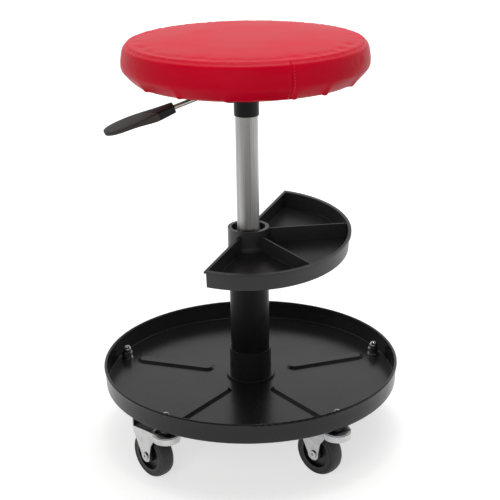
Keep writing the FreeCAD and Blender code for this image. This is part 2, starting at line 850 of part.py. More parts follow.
def make_wheel_core():
    """Moulded core: hub, thin web and rim."""
    rim_outer = wheel_radius - tyre_thickness - bond_gap
    rim_inner = rim_outer - core_rim
    half = wheel_width / 2 - core_side_play
    hub_half = fork_inner_half - seat_gap
    web = core_web / 2
    bore = axle_radius + running_gap
    return wheel_ring(
        (bore, -hub_half),
        [(core_hub_radius, -hub_half), (core_hub_radius, -web), (rim_inner, -web), (rim_inner, -half),
         (rim_outer, -half), (rim_outer, half), (rim_inner, half), (rim_inner, web), (core_hub_radius, web),
         (core_hub_radius, hub_half), (bore, hub_half)])


def make_axle():
    """Hollow rivet through both fork legs."""
    length = fork_outer_half + axle_head_height
    shank = Part.makeCylinder(axle_radius, 2 * length, V(0, 0, -length))
    head = Part.makeCylinder(axle_head_radius, axle_head_height, V(0, 0, fork_outer_half))
    far_head = Part.makeCylinder(axle_head_radius, axle_head_height, V(0, 0, -length))
    hollow = ring(0.0, axle_hollow_radius, length - axle_hollow_depth, length + overrun)
    far_hollow = ring(0.0, axle_hollow_radius, -length - overrun, -length + axle_hollow_depth)
    body = fused([shank, head, far_head]).cut([hollow, far_hollow])
    body = body.rotated(ORIGIN, V(1, 0, 0), 90)
    return body.translated(V(castor_trail, 0, wheel_radius))


def fork_leg():
    """Side plate: broad under the hood, narrowing to a round tip at the axle."""
    tip = leg_tip_radius
    axle_x, axle_z = castor_trail, wheel_radius
    slant = tip * math.sin(math.radians(45))
    front_top = race_radius * leg_front_share
    waist = (axle_x - tip - (axle_x - tip - front_top) * (1 - leg_waist_share) / 2,
             axle_z + (crown_underside - axle_z) * leg_waist_share)
    wire = outline(
        (front_top, race_rim_top),
        [(front_top, crown_underside), waist, (axle_x - tip, axle_z + tip / 3), (axle_x - tip, axle_z),
         (axle_x - slant, axle_z - slant, axle_x, axle_z - tip),
         (axle_x + slant, axle_z - slant, axle_x + tip, axle_z),
         (fork_reach, crown_underside), (fork_reach, crown_top), (race_radius, race_rim_top)])
    return Part.Face(wire).extrude(V(0, fork_sheet, 0))


def make_fork():
    """Pressed fork: a round crown with a skirt in front, a hood falling to the rear and a rear upstand."""
    crown = ring(0.0, race_radius, crown_underside, crown_top)
    race_inner = race_radius - fork_sheet
    rim = ring(race_inner, race_radius, crown_underside, race_rim_top)
    skirt = ring(race_inner, race_radius, crown_underside - fork_skirt_depth, crown_top)
    skirt = skirt.common(block((-race_radius - overrun, -race_radius - overrun, 0),
                               (race_radius * leg_front_share, race_radius + overrun, race_rim_top)))
    hood_side = outline((race_inner, crown_underside),
                        [(fork_reach, crown_underside), (fork_reach, crown_top), (race_inner, race_rim_top)])
    hood = Part.Face(hood_side).extrude(V(0, 2 * fork_outer_half, 0)).translated(V(0, -fork_outer_half, 0))
    race_room = Part.makeCylinder(race_inner, race_rim_height + overrun, V(0, 0, crown_top))
    upstand = block((fork_reach - fork_sheet, -fork_outer_half, crown_underside),
                    (fork_reach, fork_outer_half, crown_top + fork_rear_rise))
    leg = fork_leg()
    near_leg = leg.translated(V(0, -fork_outer_half, 0))
    far_leg = leg.translated(V(0, fork_inner_half, 0))
    pivot = ring(0.0, stud_radius + running_gap, crown_underside - overrun, crown_top + overrun)
    axle_hole = Part.makeCylinder(axle_radius + bond_gap, 4 * fork_outer_half,
                                  V(castor_trail, -2 * fork_outer_half, wheel_radius), V(0, 1, 0))
    plates = [skirt, hood.cut(race_room), upstand, near_leg.cut(race_room), far_leg.cut(race_room)]
    return fused([crown, rim] + plates).cut([pivot, axle_hole])


def make_race_cup():
    """Upper race: a dished cap over the balls, clamped by the stud's collar."""
    bore = stud_radius + bond_gap
    slope = (race_radius - cup_neck_radius) / 2
    return turned(
        (bore, cup_underside),
        [(race_radius - cup_sheet, cup_underside), (race_radius - cup_sheet, cup_rim_bottom),
         (race_radius, cup_rim_bottom), (race_radius, cup_top - cup_sheet / 2),
         (cup_neck_radius + slope, cup_top + cup_crown_height * cup_dome_share,
          cup_neck_radius, cup_neck_top),
         (bore, cup_neck_top)])


def make_race_balls():
    ball = Part.makeSphere(ball_radius, V(ball_circle_radius, 0, ball_height))
    return many(ball, balls_per_castor)


def make_stud():
    """Stud: riveted head under the fork's crown, hexagon collar under the pan."""
    head_top = crown_underside - bond_gap
    shaft = ring(0.0, stud_radius, head_top - stud_head_height, nut_bottom + stud_in_nut)
    head = ring(0.0, stud_head_radius, head_top - stud_head_height, head_top)
    collar = hexagon(nut_across_flats, cup_neck_top, pan_underside)
    return fused([shaft, head, collar])


def make_plain_washer():
    return ring(stud_radius + bond_gap, washer_radius, pan_floor, washer_top)


def make_spring_washer():
    body = ring(stud_radius + bond_gap, spring_washer_radius, washer_top, nut_bottom)
    split = block((0, -spring_washer_split / 2, washer_top - overrun),
                  (spring_washer_radius + overrun, spring_washer_split / 2, nut_bottom + overrun))
    return body.cut(split)


def make_dome_nut():
    """Hexagon with a domed cap, blind bore from below."""
    hex_top = nut_bottom + nut_hex_height
    top = nut_bottom + nut_total_height
    dome_straight = nut_total_height - nut_hex_height - nut_dome_radius
    slant = nut_dome_radius * math.sin(math.radians(45))
    base = hex_top + dome_straight
    corner = nut_across_flats / math.sqrt(3)
    bevel_height = nut_hex_height / 6
    cap = turned((0, hex_top - nut_hex_height / 2),
                 [(nut_dome_radius, hex_top - nut_hex_height / 2), (nut_dome_radius, base),
                  (slant, base + slant, 0.0, top)])
    bevel = turned((0, nut_bottom),
                   [(nut_across_flats / 2, nut_bottom), (corner, nut_bottom + bevel_height),
                    (corner, hex_top - bevel_height), (nut_across_flats / 2, hex_top), (0, hex_top)])
    body = fused([hexagon(nut_across_flats, nut_bottom, hex_top).common(bevel), cap])
    bore = Part.makeCylinder(stud_radius + bond_gap, stud_in_nut + bond_gap, V(0, 0, nut_bottom))
    mouth = Part.makeCylinder(stud_radius + bond_gap, overrun, V(0, 0, nut_bottom - overrun))
    return body.cut([bore, mouth])


def castor_group(shape):
    """The same piece at every castor, as one group of separate solids."""
    solids = []
    for index in range(len(castor_names)):
        copies = shape if isinstance(shape, list) else [shape]
        solids += [on_castor(copy, index) for copy in copies]
    return Part.makeCompound(solids)


def build():
    """Every node's name and shape."""
    nodes = {
        "base_pan": make_base_pan(),
        "column_socket": make_column_socket(),
        "socket_flange": make_socket_flange(),
        "column_tube": make_column_tube(),
        "guide_sleeve": make_guide_sleeve(),
        "thrust_lower_race": make_thrust_race(column_inside, rod_radius + running_gap),
        "thrust_balls": make_thrust_balls(),
        "castor_studs": castor_group(make_stud()),
        "castor_race_cups": castor_group(make_race_cup()),
        "castor_race_balls": castor_group(make_race_balls()),
        "plain_washers": castor_group(make_plain_washer()),
        "spring_washers": castor_group(make_spring_washer()),
        "dome_nuts": castor_group(make_dome_nut()),
        "piston_rod": make_piston_rod(),
        "piston": make_piston(),
        "thrust_upper_race": make_thrust_race(upper_race_bottom, rod_radius + bond_gap),
        "rubber_buffer": make_buffer(),
        "rod_clip": make_rod_clip(),
        "pressure_tube": make_pressure_tube(),
        "tube_end_guide": make_end_guide(),
        "valve_pin": make_valve_pin(),
        "taper_socket": make_taper_socket(),
        "mechanism_box": make_mechanism_box(),
        "seat_plate": make_seat_plate(),
        "lever_bracket": make_lever_bracket(),
        "lever_pivot_pin": make_pivot_pin(),
        "lever_rod": make_lever_rod(),
        "lever_paddle": make_lever_paddle(),
        "seat_board": make_seat_board(),
        "seat_screws": make_seat_screws(),
        "tee_nuts": make_tee_nuts(),
        "seat_foam": make_seat_foam(),
        "seat_cover": make_seat_cover(),
        "cover_staples": make_staples(),
        "tool_tray": make_tool_tray(),
    }
    for index, name in enumerate(castor_names):
        nodes["castor_fork_" + name] = on_castor(make_fork(), index)
        nodes["castor_axle_" + name] = on_castor(make_axle(), index)
        nodes["castor_tyre_" + name] = on_castor(make_tyre(), index)
        nodes["castor_core_" + name] = on_castor(make_wheel_core(), index)
    return nodes


os.makedirs("parts", exist_ok=True)
for node, shape in build().items():
    shape.exportStep(os.path.join("parts", node + ".step"))
    box = shape.BoundBox
    print("%-26s %2d solids  %9.1f mm3  x %7.1f %7.1f  y %7.1f %7.1f  z %6.1f %6.1f  valid %s" % (
        node, len(shape.Solids), shape.Volume, box.XMin, box.XMax, box.YMin, box.YMax, box.ZMin, box.ZMax,
        shape.isValid()))
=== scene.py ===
# %% [markdown]
# A creeper seat: a round vinyl stool on a gas lift, with a turning tool tray and a deep steel
# pan on five castors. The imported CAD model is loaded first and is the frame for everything:
# each piece made here is put where its CAD node is, in metres, and rides on the same body.

# %% Load the frame
import bpy
import bmesh
import json
import math
from mathutils import Matrix, Vector, noise

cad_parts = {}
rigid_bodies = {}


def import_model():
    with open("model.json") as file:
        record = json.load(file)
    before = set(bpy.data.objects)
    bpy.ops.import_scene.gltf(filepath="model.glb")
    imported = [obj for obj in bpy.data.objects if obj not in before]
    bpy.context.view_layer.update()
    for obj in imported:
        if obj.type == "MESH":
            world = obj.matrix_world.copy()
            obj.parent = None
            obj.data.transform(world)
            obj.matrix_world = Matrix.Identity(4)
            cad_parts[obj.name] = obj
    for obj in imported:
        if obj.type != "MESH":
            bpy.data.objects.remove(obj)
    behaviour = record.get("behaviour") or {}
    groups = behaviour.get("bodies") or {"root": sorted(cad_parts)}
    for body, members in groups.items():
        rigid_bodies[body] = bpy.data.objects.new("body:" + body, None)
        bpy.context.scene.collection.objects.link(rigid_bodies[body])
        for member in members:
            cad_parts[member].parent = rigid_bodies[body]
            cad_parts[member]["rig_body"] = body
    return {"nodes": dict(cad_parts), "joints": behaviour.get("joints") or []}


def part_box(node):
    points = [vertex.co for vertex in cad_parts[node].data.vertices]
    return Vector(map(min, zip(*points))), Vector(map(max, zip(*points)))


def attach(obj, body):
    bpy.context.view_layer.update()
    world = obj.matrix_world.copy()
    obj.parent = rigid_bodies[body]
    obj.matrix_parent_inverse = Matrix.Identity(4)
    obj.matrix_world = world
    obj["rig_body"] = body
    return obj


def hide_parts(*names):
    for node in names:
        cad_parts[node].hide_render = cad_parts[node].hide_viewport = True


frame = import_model()
nodes = frame["nodes"]
joints = {joint["name"]: joint for joint in frame["joints"]}
castors = ["back", "left", "front_left", "front_right", "right"]
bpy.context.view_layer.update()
MM = 0.001
UP = Vector((0, 0, 1))
print("CAD nodes:", len(nodes), "joints:", len(joints))

# %% [markdown]
# The camera is set before anything is modelled. The place and the angles were solved from circles
# that can be measured in the picture: the seat, the tray's hub, the column, the pan's rim and the
# castors.

# %% Camera
photo_width = 500
view_distance = 50
focal_pixels = 1200.05
film_width = 36.0
camera_place = Vector((-0.8, -1430.2, 768.1)) * MM
camera_down = math.radians(19.948)
camera_turn = math.radians(0.096)
camera_roll = math.radians(-0.927)


def make_camera():
    """A camera from its place, heading, pitch and roll, with a lens in photograph pixels."""
    forward = Vector((math.sin(camera_turn) * math.cos(camera_down),
                      math.cos(camera_turn) * math.cos(camera_down), -math.sin(camera_down)))
    level = forward.cross(UP).normalized()
    upright = level.cross(forward)
    right = level * math.cos(camera_roll) + upright * math.sin(camera_roll)
    top = upright * math.cos(camera_roll) - level * math.sin(camera_roll)
    data = bpy.data.cameras.new("photo_camera")
    data.sensor_width = film_width
    data.lens = focal_pixels * film_width / photo_width
    data.clip_end = view_distance
    camera = bpy.data.objects.new("photo_camera", data)
    bpy.context.scene.collection.objects.link(camera)
    axes = Matrix((right, top, -forward)).transposed()
    camera.matrix_world = Matrix.Translation(camera_place) @ axes.to_4x4()
    bpy.context.scene.camera = camera
    print("lens %.1f mm" % data.lens)


make_camera()

# %% [markdown]
# Colours are written as hex codes, as a paint chart gives them, and one function turns them to
# the linear values that shaders add up in. One more function adds a node, sets it and links it,
# so each material below reads as a short list of what feeds what.

# %% Colours and nodes
def srgb(code):
    """A hex colour as the linear RGBA that shader sockets take."""
    parts = [int(code[place:place + 2], 16) / 255 for place in (1, 3, 5)]
    linear = [part / 12.92 if part <= 0.04045 else ((part + 0.055) / 1.055) ** 2.4 for part in parts]
    return (*linear, 1.0)


# The Mix node has sockets of the same name for numbers and for colours, so the colour ones go by
# their place.
A_COLOUR, B_COLOUR, MIXED = 6, 7, 2


def add(tree, kind, inputs=None, **settings):
    """Add a node; each input is a plain value or the output socket that feeds it."""
    made = tree.nodes.new(kind)
    for name, value in settings.items():
        setattr(made, name, value)
    for name, value in (inputs or {}).items():
        if isinstance(value, bpy.types.NodeSocket):
            tree.links.new(value, made.inputs[name])
        else:
            made.inputs[name].default_value = value
    return made


print("middle grey #808080 is %.3f in linear light" % srgb("#808080")[0])

# %% [markdown]
# The stool stands in a plain studio: white all round near the ground, pale as high as a level
# camera sees from any side, and above that a pale back wall, a dim ceiling and a dark room behind
# the camera. Chrome, zinc and black enamel have almost no colour of their own, so this room is
# what draws them. Every ray sees the same room, so the metal shows the background that the camera
# sees. It is made from the ray's direction alone: each wall fades into the next between two
# values, which run from -1 to 1 along the depth and the height.

# %% The room
dark_front = "#303030"
pale_back = "#f2f2f2"
side_walls = "#c8c8c8"
white_base = "#ffffff"
ceiling_strength = 0.22
front_to_sides = (-0.4, -0.1)
sides_to_back = (0.4, 0.7)
white_to_pale = (0.03, 0.1)
pale_to_walls = (0.21, 0.3)
walls_to_ceiling = (0.5, 0.8)


def make_room():
    """World colour by direction: depth picks the wall, height picks base, wall or ceiling."""
    world = bpy.data.worlds.new("studio_room")
    bpy.context.scene.world = world
    world.use_nodes = True
    tree = world.node_tree
    tree.nodes.clear()
    direction = add(tree, "ShaderNodeTexCoord").outputs["Generated"]
    axes = add(tree, "ShaderNodeSeparateXYZ", {"Vector": direction})
    colour = srgb(dark_front)
    for axis, (low, high), first, last, wall in [("Y", front_to_sides, 0, 1, side_walls),
                                                 ("Y", sides_to_back, 0, 1, pale_back),
                                                 ("Z", pale_to_walls, 1, 0, pale_back),
                                                 ("Z", white_to_pale, 1, 0, white_base)]:
        share = add(tree, "ShaderNodeMapRange", {"Value": axes.outputs[axis], "From Min": low,
                                                 "From Max": high, "To Min": first, "To Max": last})
        colour = add(tree, "ShaderNodeMix", {"Factor": share.outputs["Result"], A_COLOUR: colour,
                                             B_COLOUR: srgb(wall)}, data_type="RGBA").outputs[MIXED]
    low, high = walls_to_ceiling
    strength = add(tree, "ShaderNodeMapRange", {"Value": axes.outputs["Z"], "From Min": low, "From Max": high,
                                                "To Min": 1.0, "To Max": ceiling_strength})
    sky = add(tree, "ShaderNodeBackground", {"Color": colour, "Strength": strength.outputs["Result"]})
    add(tree, "ShaderNodeOutputWorld", {"Surface": sky.outputs[0]})


make_room()
print("room made")

# %% [markdown]
# The light is soft and comes from three square lamps. A wide softbox overhead and a fill in front
# light the surfaces but don't show as bright squares in the gloss. A smaller one above does, and
# gives the dome nuts and rims their glints.

# %% Lamps
lamp_aim = Vector((0, 0, 0.3))


def softbox(name, place, size, power, seen_in_gloss):
    """A square soft lamp that points at the middle of the stool."""
    data = bpy.data.lights.new(name, "AREA")
    data.shape = "SQUARE"
    data.size = size
    data.energy = power
    lamp = bpy.data.objects.new(name, data)
    bpy.context.scene.collection.objects.link(lamp)
    heading = (lamp_aim - Vector(place)).to_track_quat("-Z", "Y")
    lamp.matrix_world = Matrix.Translation(Vector(place)) @ heading.to_matrix().to_4x4()
    lamp.visible_glossy = seen_in_gloss


softbox("overhead_softbox", place=(0.1, 0.3, 2.0), size=1.6, power=15.5, seen_in_gloss=False)
softbox("top_glint", place=(0.05, 0.1, 1.9), size=0.5, power=7, seen_in_gloss=True)
softbox("front_fill", place=(-0.6, -2.1, 1.2), size=1.4, power=17.5, seen_in_gloss=False)
bpy.context.scene.view_settings.view_transform = "Standard"
print("lamps:", len(bpy.data.lights))

# %% [markdown]
# The floor is one big sheet of white paper. A glow, seen by the camera, by gloss and through
# glass alike, lifts it to white without putting more light on the stool. It is weak round the
# stool, whose soft shadow stays, and grows outward, where the lamps no longer reach. A grey sheet
# without a glow lies on the floor in front, out of the picture, as photographers do for bottles.
# Only gloss sees it, not the camera, diffuse light or shadows, so it paints a darker reflection:
# upright surfaces mirror it, so the column stays black and the chrome tube isn't all white.

# %% Floor
floor_size = 30.0
floor_colour = "#cfcfce"
near_glow, far_glow = 0.62, 1.0
near_edge, far_edge = 0.4, 2.2
cloth_colour, cloth_rough = "#d6d6d6", 0.9
cloth_low, cloth_high = Vector((-1.7, -2.2, 0.004)), Vector((0.9, -0.42, 0.004))


def sheet_of(name, low, high, finish):
    """A flat rectangle on the floor with its own material."""
    bm = bmesh.new()
    bmesh.ops.create_grid(bm, x_segments=1, y_segments=1, size=0.5)
    bmesh.ops.scale(bm, vec=Vector((high.x - low.x, high.y - low.y, 1)), verts=bm.verts)
    bmesh.ops.translate(bm, vec=(low + high) / 2, verts=bm.verts)
    mesh = bpy.data.meshes.new(name)
    bm.to_mesh(mesh)
    bm.free()
    sheet = bpy.data.objects.new(name, mesh)
    bpy.context.scene.collection.objects.link(sheet)
    mesh.materials.append(finish)
    return sheet


def paper():
    """White paper whose glow on camera, glossy and transmission rays grows with the distance."""
    made = bpy.data.materials.new("white_backdrop_paper")
    made.use_nodes = True
    tree = made.node_tree
    tree.nodes.clear()
    plain = add(tree, "ShaderNodeBsdfDiffuse", {"Color": srgb(floor_colour)})
    place = add(tree, "ShaderNodeTexCoord").outputs["Object"]
    reach = add(tree, "ShaderNodeVectorMath", {0: place}, operation="LENGTH").outputs["Value"]
    strength = add(tree, "ShaderNodeMapRange", {"Value": reach, "From Min": near_edge, "From Max": far_edge,
                                                "To Min": near_glow, "To Max": far_glow})
    glow = add(tree, "ShaderNodeEmission", {"Color": srgb(white_base),
                                            "Strength": strength.outputs["Result"]})
    both = add(tree, "ShaderNodeAddShader", {0: plain.outputs[0], 1: glow.outputs[0]})
    ray = add(tree, "ShaderNodeLightPath").outputs
    seen = ray["Is Camera Ray"]
    for other in ("Is Glossy Ray", "Is Transmission Ray"):
        seen = add(tree, "ShaderNodeMath", {0: seen, 1: ray[other]}, operation="MAXIMUM").outputs[0]
    mix = add(tree, "ShaderNodeMixShader", {"Fac": seen, 1: plain.outputs[0], 2: both.outputs[0]})
    add(tree, "ShaderNodeOutputMaterial", {"Surface": mix.outputs[0]})
    return made


def grey_cloth():
    """Plain matt grey, with no glow."""
    made = bpy.data.materials.new("grey_studio_cloth")
    made.use_nodes = True
    surface = made.node_tree.nodes["Principled BSDF"]
    surface.inputs["Base Color"].default_value = srgb(cloth_colour)
    surface.inputs["Roughness"].default_value = cloth_rough
    return made


half_floor = Vector((floor_size / 2, floor_size / 2, 0))
sheet_of("floor", -half_floor, half_floor, paper())
studio_cloth = sheet_of("studio_cloth", cloth_low, cloth_high, grey_cloth())
# The sheet shows only in reflections: a painted dark reflection, with no shadow and no light of its own
studio_cloth.visible_camera = False
studio_cloth.visible_diffuse = False
studio_cloth.visible_shadow = False
print("floor %.0f m wide" % floor_size)

# %% [markdown]
# Materials start from what each real surface is. The common part is a Principled surface whose
# colour and roughness drift in soft patches, as handling and dust make them, and a fine relief
# whose grain is a real size in millimetres. What is special to one finish is added after it. A
# second relief, such as a leather grain, is laid over the first by feeding one Bump to the next.

# %% Material helper
tint_from, tint_to = 0.35, 0.65
rough_from, rough_to = 0.3, 0.7
patch_detail, grain_detail = 3.0, 2.0
grain_strength = 0.6


def material(name, colour, rough, metallic=0.0, second=None, patch=30.0, grain=0.5, relief=0.02,
             rough_spread=0.08, stretch=(1, 1, 1), gloss=0.5):
    """A finish: one colour or two close ones in soft patches, drifting roughness and a fine grain.

    patch, grain and relief are real sizes in millimetres.
    """
    made = bpy.data.materials.new(name)
    made.use_nodes = True
    tree = made.node_tree
    surface = tree.nodes["Principled BSDF"]
    place = add(tree, "ShaderNodeTexCoord").outputs["Object"]
    place = add(tree, "ShaderNodeMapping", {"Vector": place, "Scale": stretch}).outputs["Vector"]
    patches = add(tree, "ShaderNodeTexNoise", {"Vector": place, "Scale": 1 / (patch * MM),
                                               "Detail": patch_detail}).outputs["Fac"]
    if second:
        share = add(tree, "ShaderNodeMapRange", {"Value": patches, "From Min": tint_from,
                                                 "From Max": tint_to}).outputs["Result"]
        tint = add(tree, "ShaderNodeMix", {"Factor": share, A_COLOUR: srgb(colour), B_COLOUR: srgb(second)},
                   data_type="RGBA")
        tree.links.new(tint.outputs[MIXED], surface.inputs["Base Color"])
    else:
        surface.inputs["Base Color"].default_value = srgb(colour)
    drift = add(tree, "ShaderNodeMapRange", {"Value": patches, "From Min": rough_from, "From Max": rough_to,
                                             "To Min": rough - rough_spread / 2,
                                             "To Max": rough + rough_spread / 2})
    tree.links.new(drift.outputs["Result"], surface.inputs["Roughness"])
    surface.inputs["Metallic"].default_value = metallic
    surface.inputs["Specular IOR Level"].default_value = gloss
    grains = add(tree, "ShaderNodeTexNoise", {"Vector": place, "Scale": 1 / (grain * MM),
                                              "Detail": grain_detail}).outputs["Fac"]
    bump = add(tree, "ShaderNodeBump", {"Height": grains, "Strength": grain_strength,
                                        "Distance": relief * MM})
    tree.links.new(bump.outputs["Normal"], surface.inputs["Normal"])
    return made


def over_normal(made, height, strength, distance):
    """Lay one more relief over the one that a material has."""
    tree = made.node_tree
    normal = tree.nodes["Principled BSDF"].inputs["Normal"]
    below = normal.links[0].from_socket
    bump = add(tree, "ShaderNodeBump", {"Height": height, "Strength": strength, "Distance": distance * MM,
                                        "Normal": below})
    tree.links.new(bump.outputs["Normal"], normal)


print("two colours meet where the noise goes from %.2f to %.2f" % (tint_from, tint_to))

# %% [markdown]
# Painted and plated steel. Stove enamel is a thin gloss paint: black, with a faint orange peel
# about 2.5 mm across. The column has a satin spray coat. Zinc plate is bright but never even:
# it clouds in patches of about a centimetre. The tube is ground round before it is chromed, and
# the grinding marks smear each reflection up and down: bright and dark show as long upright
# streaks. The Anisotropic socket does that, with a tangent that points along the tube, and a paler
# second colour in long upright patches paints more of them as painted reflection streaks. The
# enamel keeps one even colour, as a dipped and baked coat does.

# %% Metal finishes
enamel = material("black_stove_enamel", "#1c1c1d", 0.26, patch=60, grain=2.5, relief=0.02,
                  rough_spread=0.05, gloss=0.31)
column_paint = material("satin_black_paint", "#0d0d0e", 0.34, second="#121213", patch=25, grain=0.7,
                        relief=0.02, gloss=0.17)
zinc = material("bright_zinc_plate", "#b4b6ba", 0.22, metallic=1.0, second="#c9c8c4", patch=9, grain=0.6,
                relief=0.012)
steel = material("ground_steel", "#8a8a8c", 0.3, metallic=1.0, second="#9a9a9c", patch=5, grain=0.3,
                 relief=0.008)
# The paler second colour, in patches stretched long and upright, paints bright reflection streaks
chrome = material("hard_chrome_plate", "#a0a09e", 0.38, metallic=1.0, second="#bebebc", patch=2.4, grain=0.3,
                  relief=0.004, stretch=(1, 1, 0.02), rough_spread=0.06)
chrome_smear = 0.95
chrome_surface = chrome.node_tree.nodes["Principled BSDF"]
chrome_surface.inputs["Anisotropic"].default_value = chrome_smear
along_tube = add(chrome.node_tree, "ShaderNodeCombineXYZ", {"Z": 1.0})
chrome.node_tree.links.new(along_tube.outputs["Vector"], chrome_surface.inputs["Tangent"])
print("metal finishes: enamel, satin paint, zinc, ground steel, chrome")

# %% [markdown]
# Moulded parts. Polypropylene and nylon are never quite black: a fine spark-eroded mould texture
# scatters a little light, which is why the tray looks dark grey beside the enamel. Tyres are a
# dense rubber that is matt and slightly dusty. The seat's board is birch plywood, whose colour
# runs along the grain.

# %% Moulded finishes
polypropylene = material("black_polypropylene", "#272728", 0.35, second="#2d2d2e", patch=40, grain=0.4,
                         relief=0.02, gloss=0.45)
nylon = material("black_nylon", "#0f0f0f", 0.45, second="#151515", patch=10, grain=0.4, relief=0.02)
tyre_rubber = material("black_tyre_rubber", "#212122", 0.55, second="#2b2b2b", patch=12, grain=0.5,
                       relief=0.04)
core_plastic = material("castor_core_polypropylene", "#0c0c0d", 0.45, patch=10)
rubber = material("moulded_rubber", "#161616", 0.7)
plywood = material("birch_plywood", "#c9a878", 0.65, second="#b8905e", patch=18, grain=0.5, relief=0.05,
                   stretch=(0.12, 1, 1))
print("finishes so far:", len(bpy.data.materials))

# %% [markdown]
# The seat's cover is PVC on a knitted backing: saturated red, a soft gloss that goes pale where
# it mirrors the floor, and a leather-like grain of little cells about a millimetre across. Along
# the shoulder seam a paler pink is painted into the colour: a painted highlight on the turned edge.
# The painted highlight fades with the distance from the seam's circle, which is worked out from the
# radius and the height of each point.

# %% Vinyl
cushion_low, cushion_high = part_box("seat_cover")
cushion_side, cushion_top, cushion_foot = cushion_high.x, cushion_high.z, cushion_low.z
shoulder_seam_inset, shoulder_seam_depth = 4.9, 6.3
shoulder_seam_radius = cushion_side - shoulder_seam_inset * MM
shoulder_seam_height = cushion_top - shoulder_seam_depth * MM
# A painted highlight along the shoulder seam: its pink, its share of the colour and its reach in mm
painted_highlight_pink, highlight_share, highlight_reach = "#e0525c", 0.9, 4.5
grain_cell, cell_strength, cell_relief = 1.1, 0.5, 0.05


def vinyl_material():
    """An even red with a painted highlight along the shoulder seam, and a grain of small cells."""
    made = material("red_pvc_vinyl", "#c80023", 0.4, second="#ce0328", patch=45, grain=0.9, relief=0.03,
                    rough_spread=0.06, gloss=0.09)
    tree = made.node_tree
    place = add(tree, "ShaderNodeTexCoord").outputs["Object"]
    cells = add(tree, "ShaderNodeTexVoronoi", {"Vector": place, "Scale": 1 / (grain_cell * MM)}, feature="F1")
    over_normal(made, cells.outputs["Distance"], cell_strength, cell_relief)
    height = add(tree, "ShaderNodeSeparateXYZ", {"Vector": place}).outputs["Z"]
    flat_place = add(tree, "ShaderNodeVectorMath", {0: place, 1: (1, 1, 0)}, operation="MULTIPLY")
    radius = add(tree, "ShaderNodeVectorMath", {0: flat_place.outputs["Vector"]}, operation="LENGTH")
    above = add(tree, "ShaderNodeMath", {0: height, 1: shoulder_seam_height}, operation="SUBTRACT")
    outside = add(tree, "ShaderNodeMath", {0: radius.outputs["Value"], 1: shoulder_seam_radius},
                  operation="SUBTRACT")
    off_seam = add(tree, "ShaderNodeCombineXYZ", {"X": outside.outputs[0], "Y": above.outputs[0]})
    off_seam = add(tree, "ShaderNodeVectorMath", {0: off_seam.outputs["Vector"]}, operation="LENGTH")
    # The painted highlight: full share on the seam's circle, none at its reach
    seam_highlight_mask = add(tree, "ShaderNodeMapRange", {"Value": off_seam.outputs["Value"],
                                                 "From Max": highlight_reach * MM, "To Min": highlight_share,
                                                 "To Max": 0.0}, interpolation_type="SMOOTHSTEP")
    base = tree.nodes["Principled BSDF"].inputs["Base Color"]
    highlighted_red = add(tree, "ShaderNodeMix", {"Factor": seam_highlight_mask.outputs["Result"], B_COLOUR: srgb(painted_highlight_pink),
                                        A_COLOUR: base.links[0].from_socket}, data_type="RGBA")
    tree.links.new(highlighted_red.outputs[MIXED], base)
    return made


vinyl = vinyl_material()
thread = material("red_polyester_thread", "#cc2236", 0.5, second="#d43a48", patch=3, grain=0.3, relief=0.03)
print("shoulder seam: radius %.1f mm, height %.1f mm"
      % (shoulder_seam_radius / MM, shoulder_seam_height / MM))

# %% [markdown]
# The CAD nodes arrive as loose triangles. A copy is merged, its flat faces are joined again and
# its sharp edges are bevelled, because real pressed, turned and moulded edges are round and
# catch a thin line of light. The copy then stands for the node: it rides on the same body.

# %% A piece in place of a node
merge_distance = 0.002 * MM
smooth_angle = 35


def finish_piece(name, bm, finish, node, smooth_below=smooth_angle):
    """Turn a bmesh into a named object that rides on its node's body, and replaces the node."""
    mesh = bpy.data.meshes.new(name)
    bm.to_mesh(mesh)
    bm.free()
    mesh.polygons.foreach_set("use_smooth", [True] * len(mesh.polygons))
    mesh.set_sharp_from_angle(angle=math.radians(smooth_below))
    mesh.materials.append(finish)
    piece = bpy.data.objects.new(name, mesh)
    bpy.context.scene.collection.objects.link(piece)
    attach(piece, nodes[node]["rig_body"])
    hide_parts(node)
    return piece


print("edges are shaded smooth up to %d degrees" % smooth_angle)

# %% Rounded edges
flat_angle, sharp_angle = 0.3, 28


def merged_copy(node):
    """A CAD node's triangles as one closed mesh with its flat faces whole again."""
    bm = bmesh.new()
    bm.from_mesh(nodes[node].data)
    bmesh.ops.remove_doubles(bm, verts=bm.verts, dist=merge_distance)
    bmesh.ops.dissolve_limit(bm, angle_limit=math.radians(flat_angle), verts=bm.verts, edges=bm.edges)
    return bm


def sharp_edges(bm, angle=sharp_angle):
    """The edges whose two faces meet at more than an angle in degrees."""
    return [edge for edge in bm.edges
            if len(edge.link_faces) == 2 and edge.calc_face_angle(0.0) > math.radians(angle)]


def soften(bm, edges, width, segments=2):
    """Round a set of edges by a width in millimetres."""
    bmesh.ops.bevel(bm, geom=edges, offset=width * MM, segments=segments, profile=0.5, affect="EDGES",
                    clamp_overlap=True, material=-1)


def even_shading(piece):
    """Let the large faces set the shading, so that they look flat beside their bevels."""
    weight = piece.modifiers.new("even_shading", "WEIGHTED_NORMAL")
    weight.keep_sharp = True


def rounded_copy(node, finish, width, segments=2):
    """Put a merged copy with bevelled edges in place of a node, and count those edges."""
    bm = merged_copy(node)
    edges = sharp_edges(bm)
    count = len(edges)
    soften(bm, edges, width, segments)
    even_shading(finish_piece(node + "_piece", bm, finish, node))
    return count


print("edges above %d degrees are rounded" % sharp_angle)

# %% [markdown]
# The gas lift, its socket and the mechanism under the seat are turned or pressed steel whose CAD
# shape is right, so they only get their rounded edges and finishes. So do the bolts: a plain
# washer, a split spring washer and a dome nut at each castor.

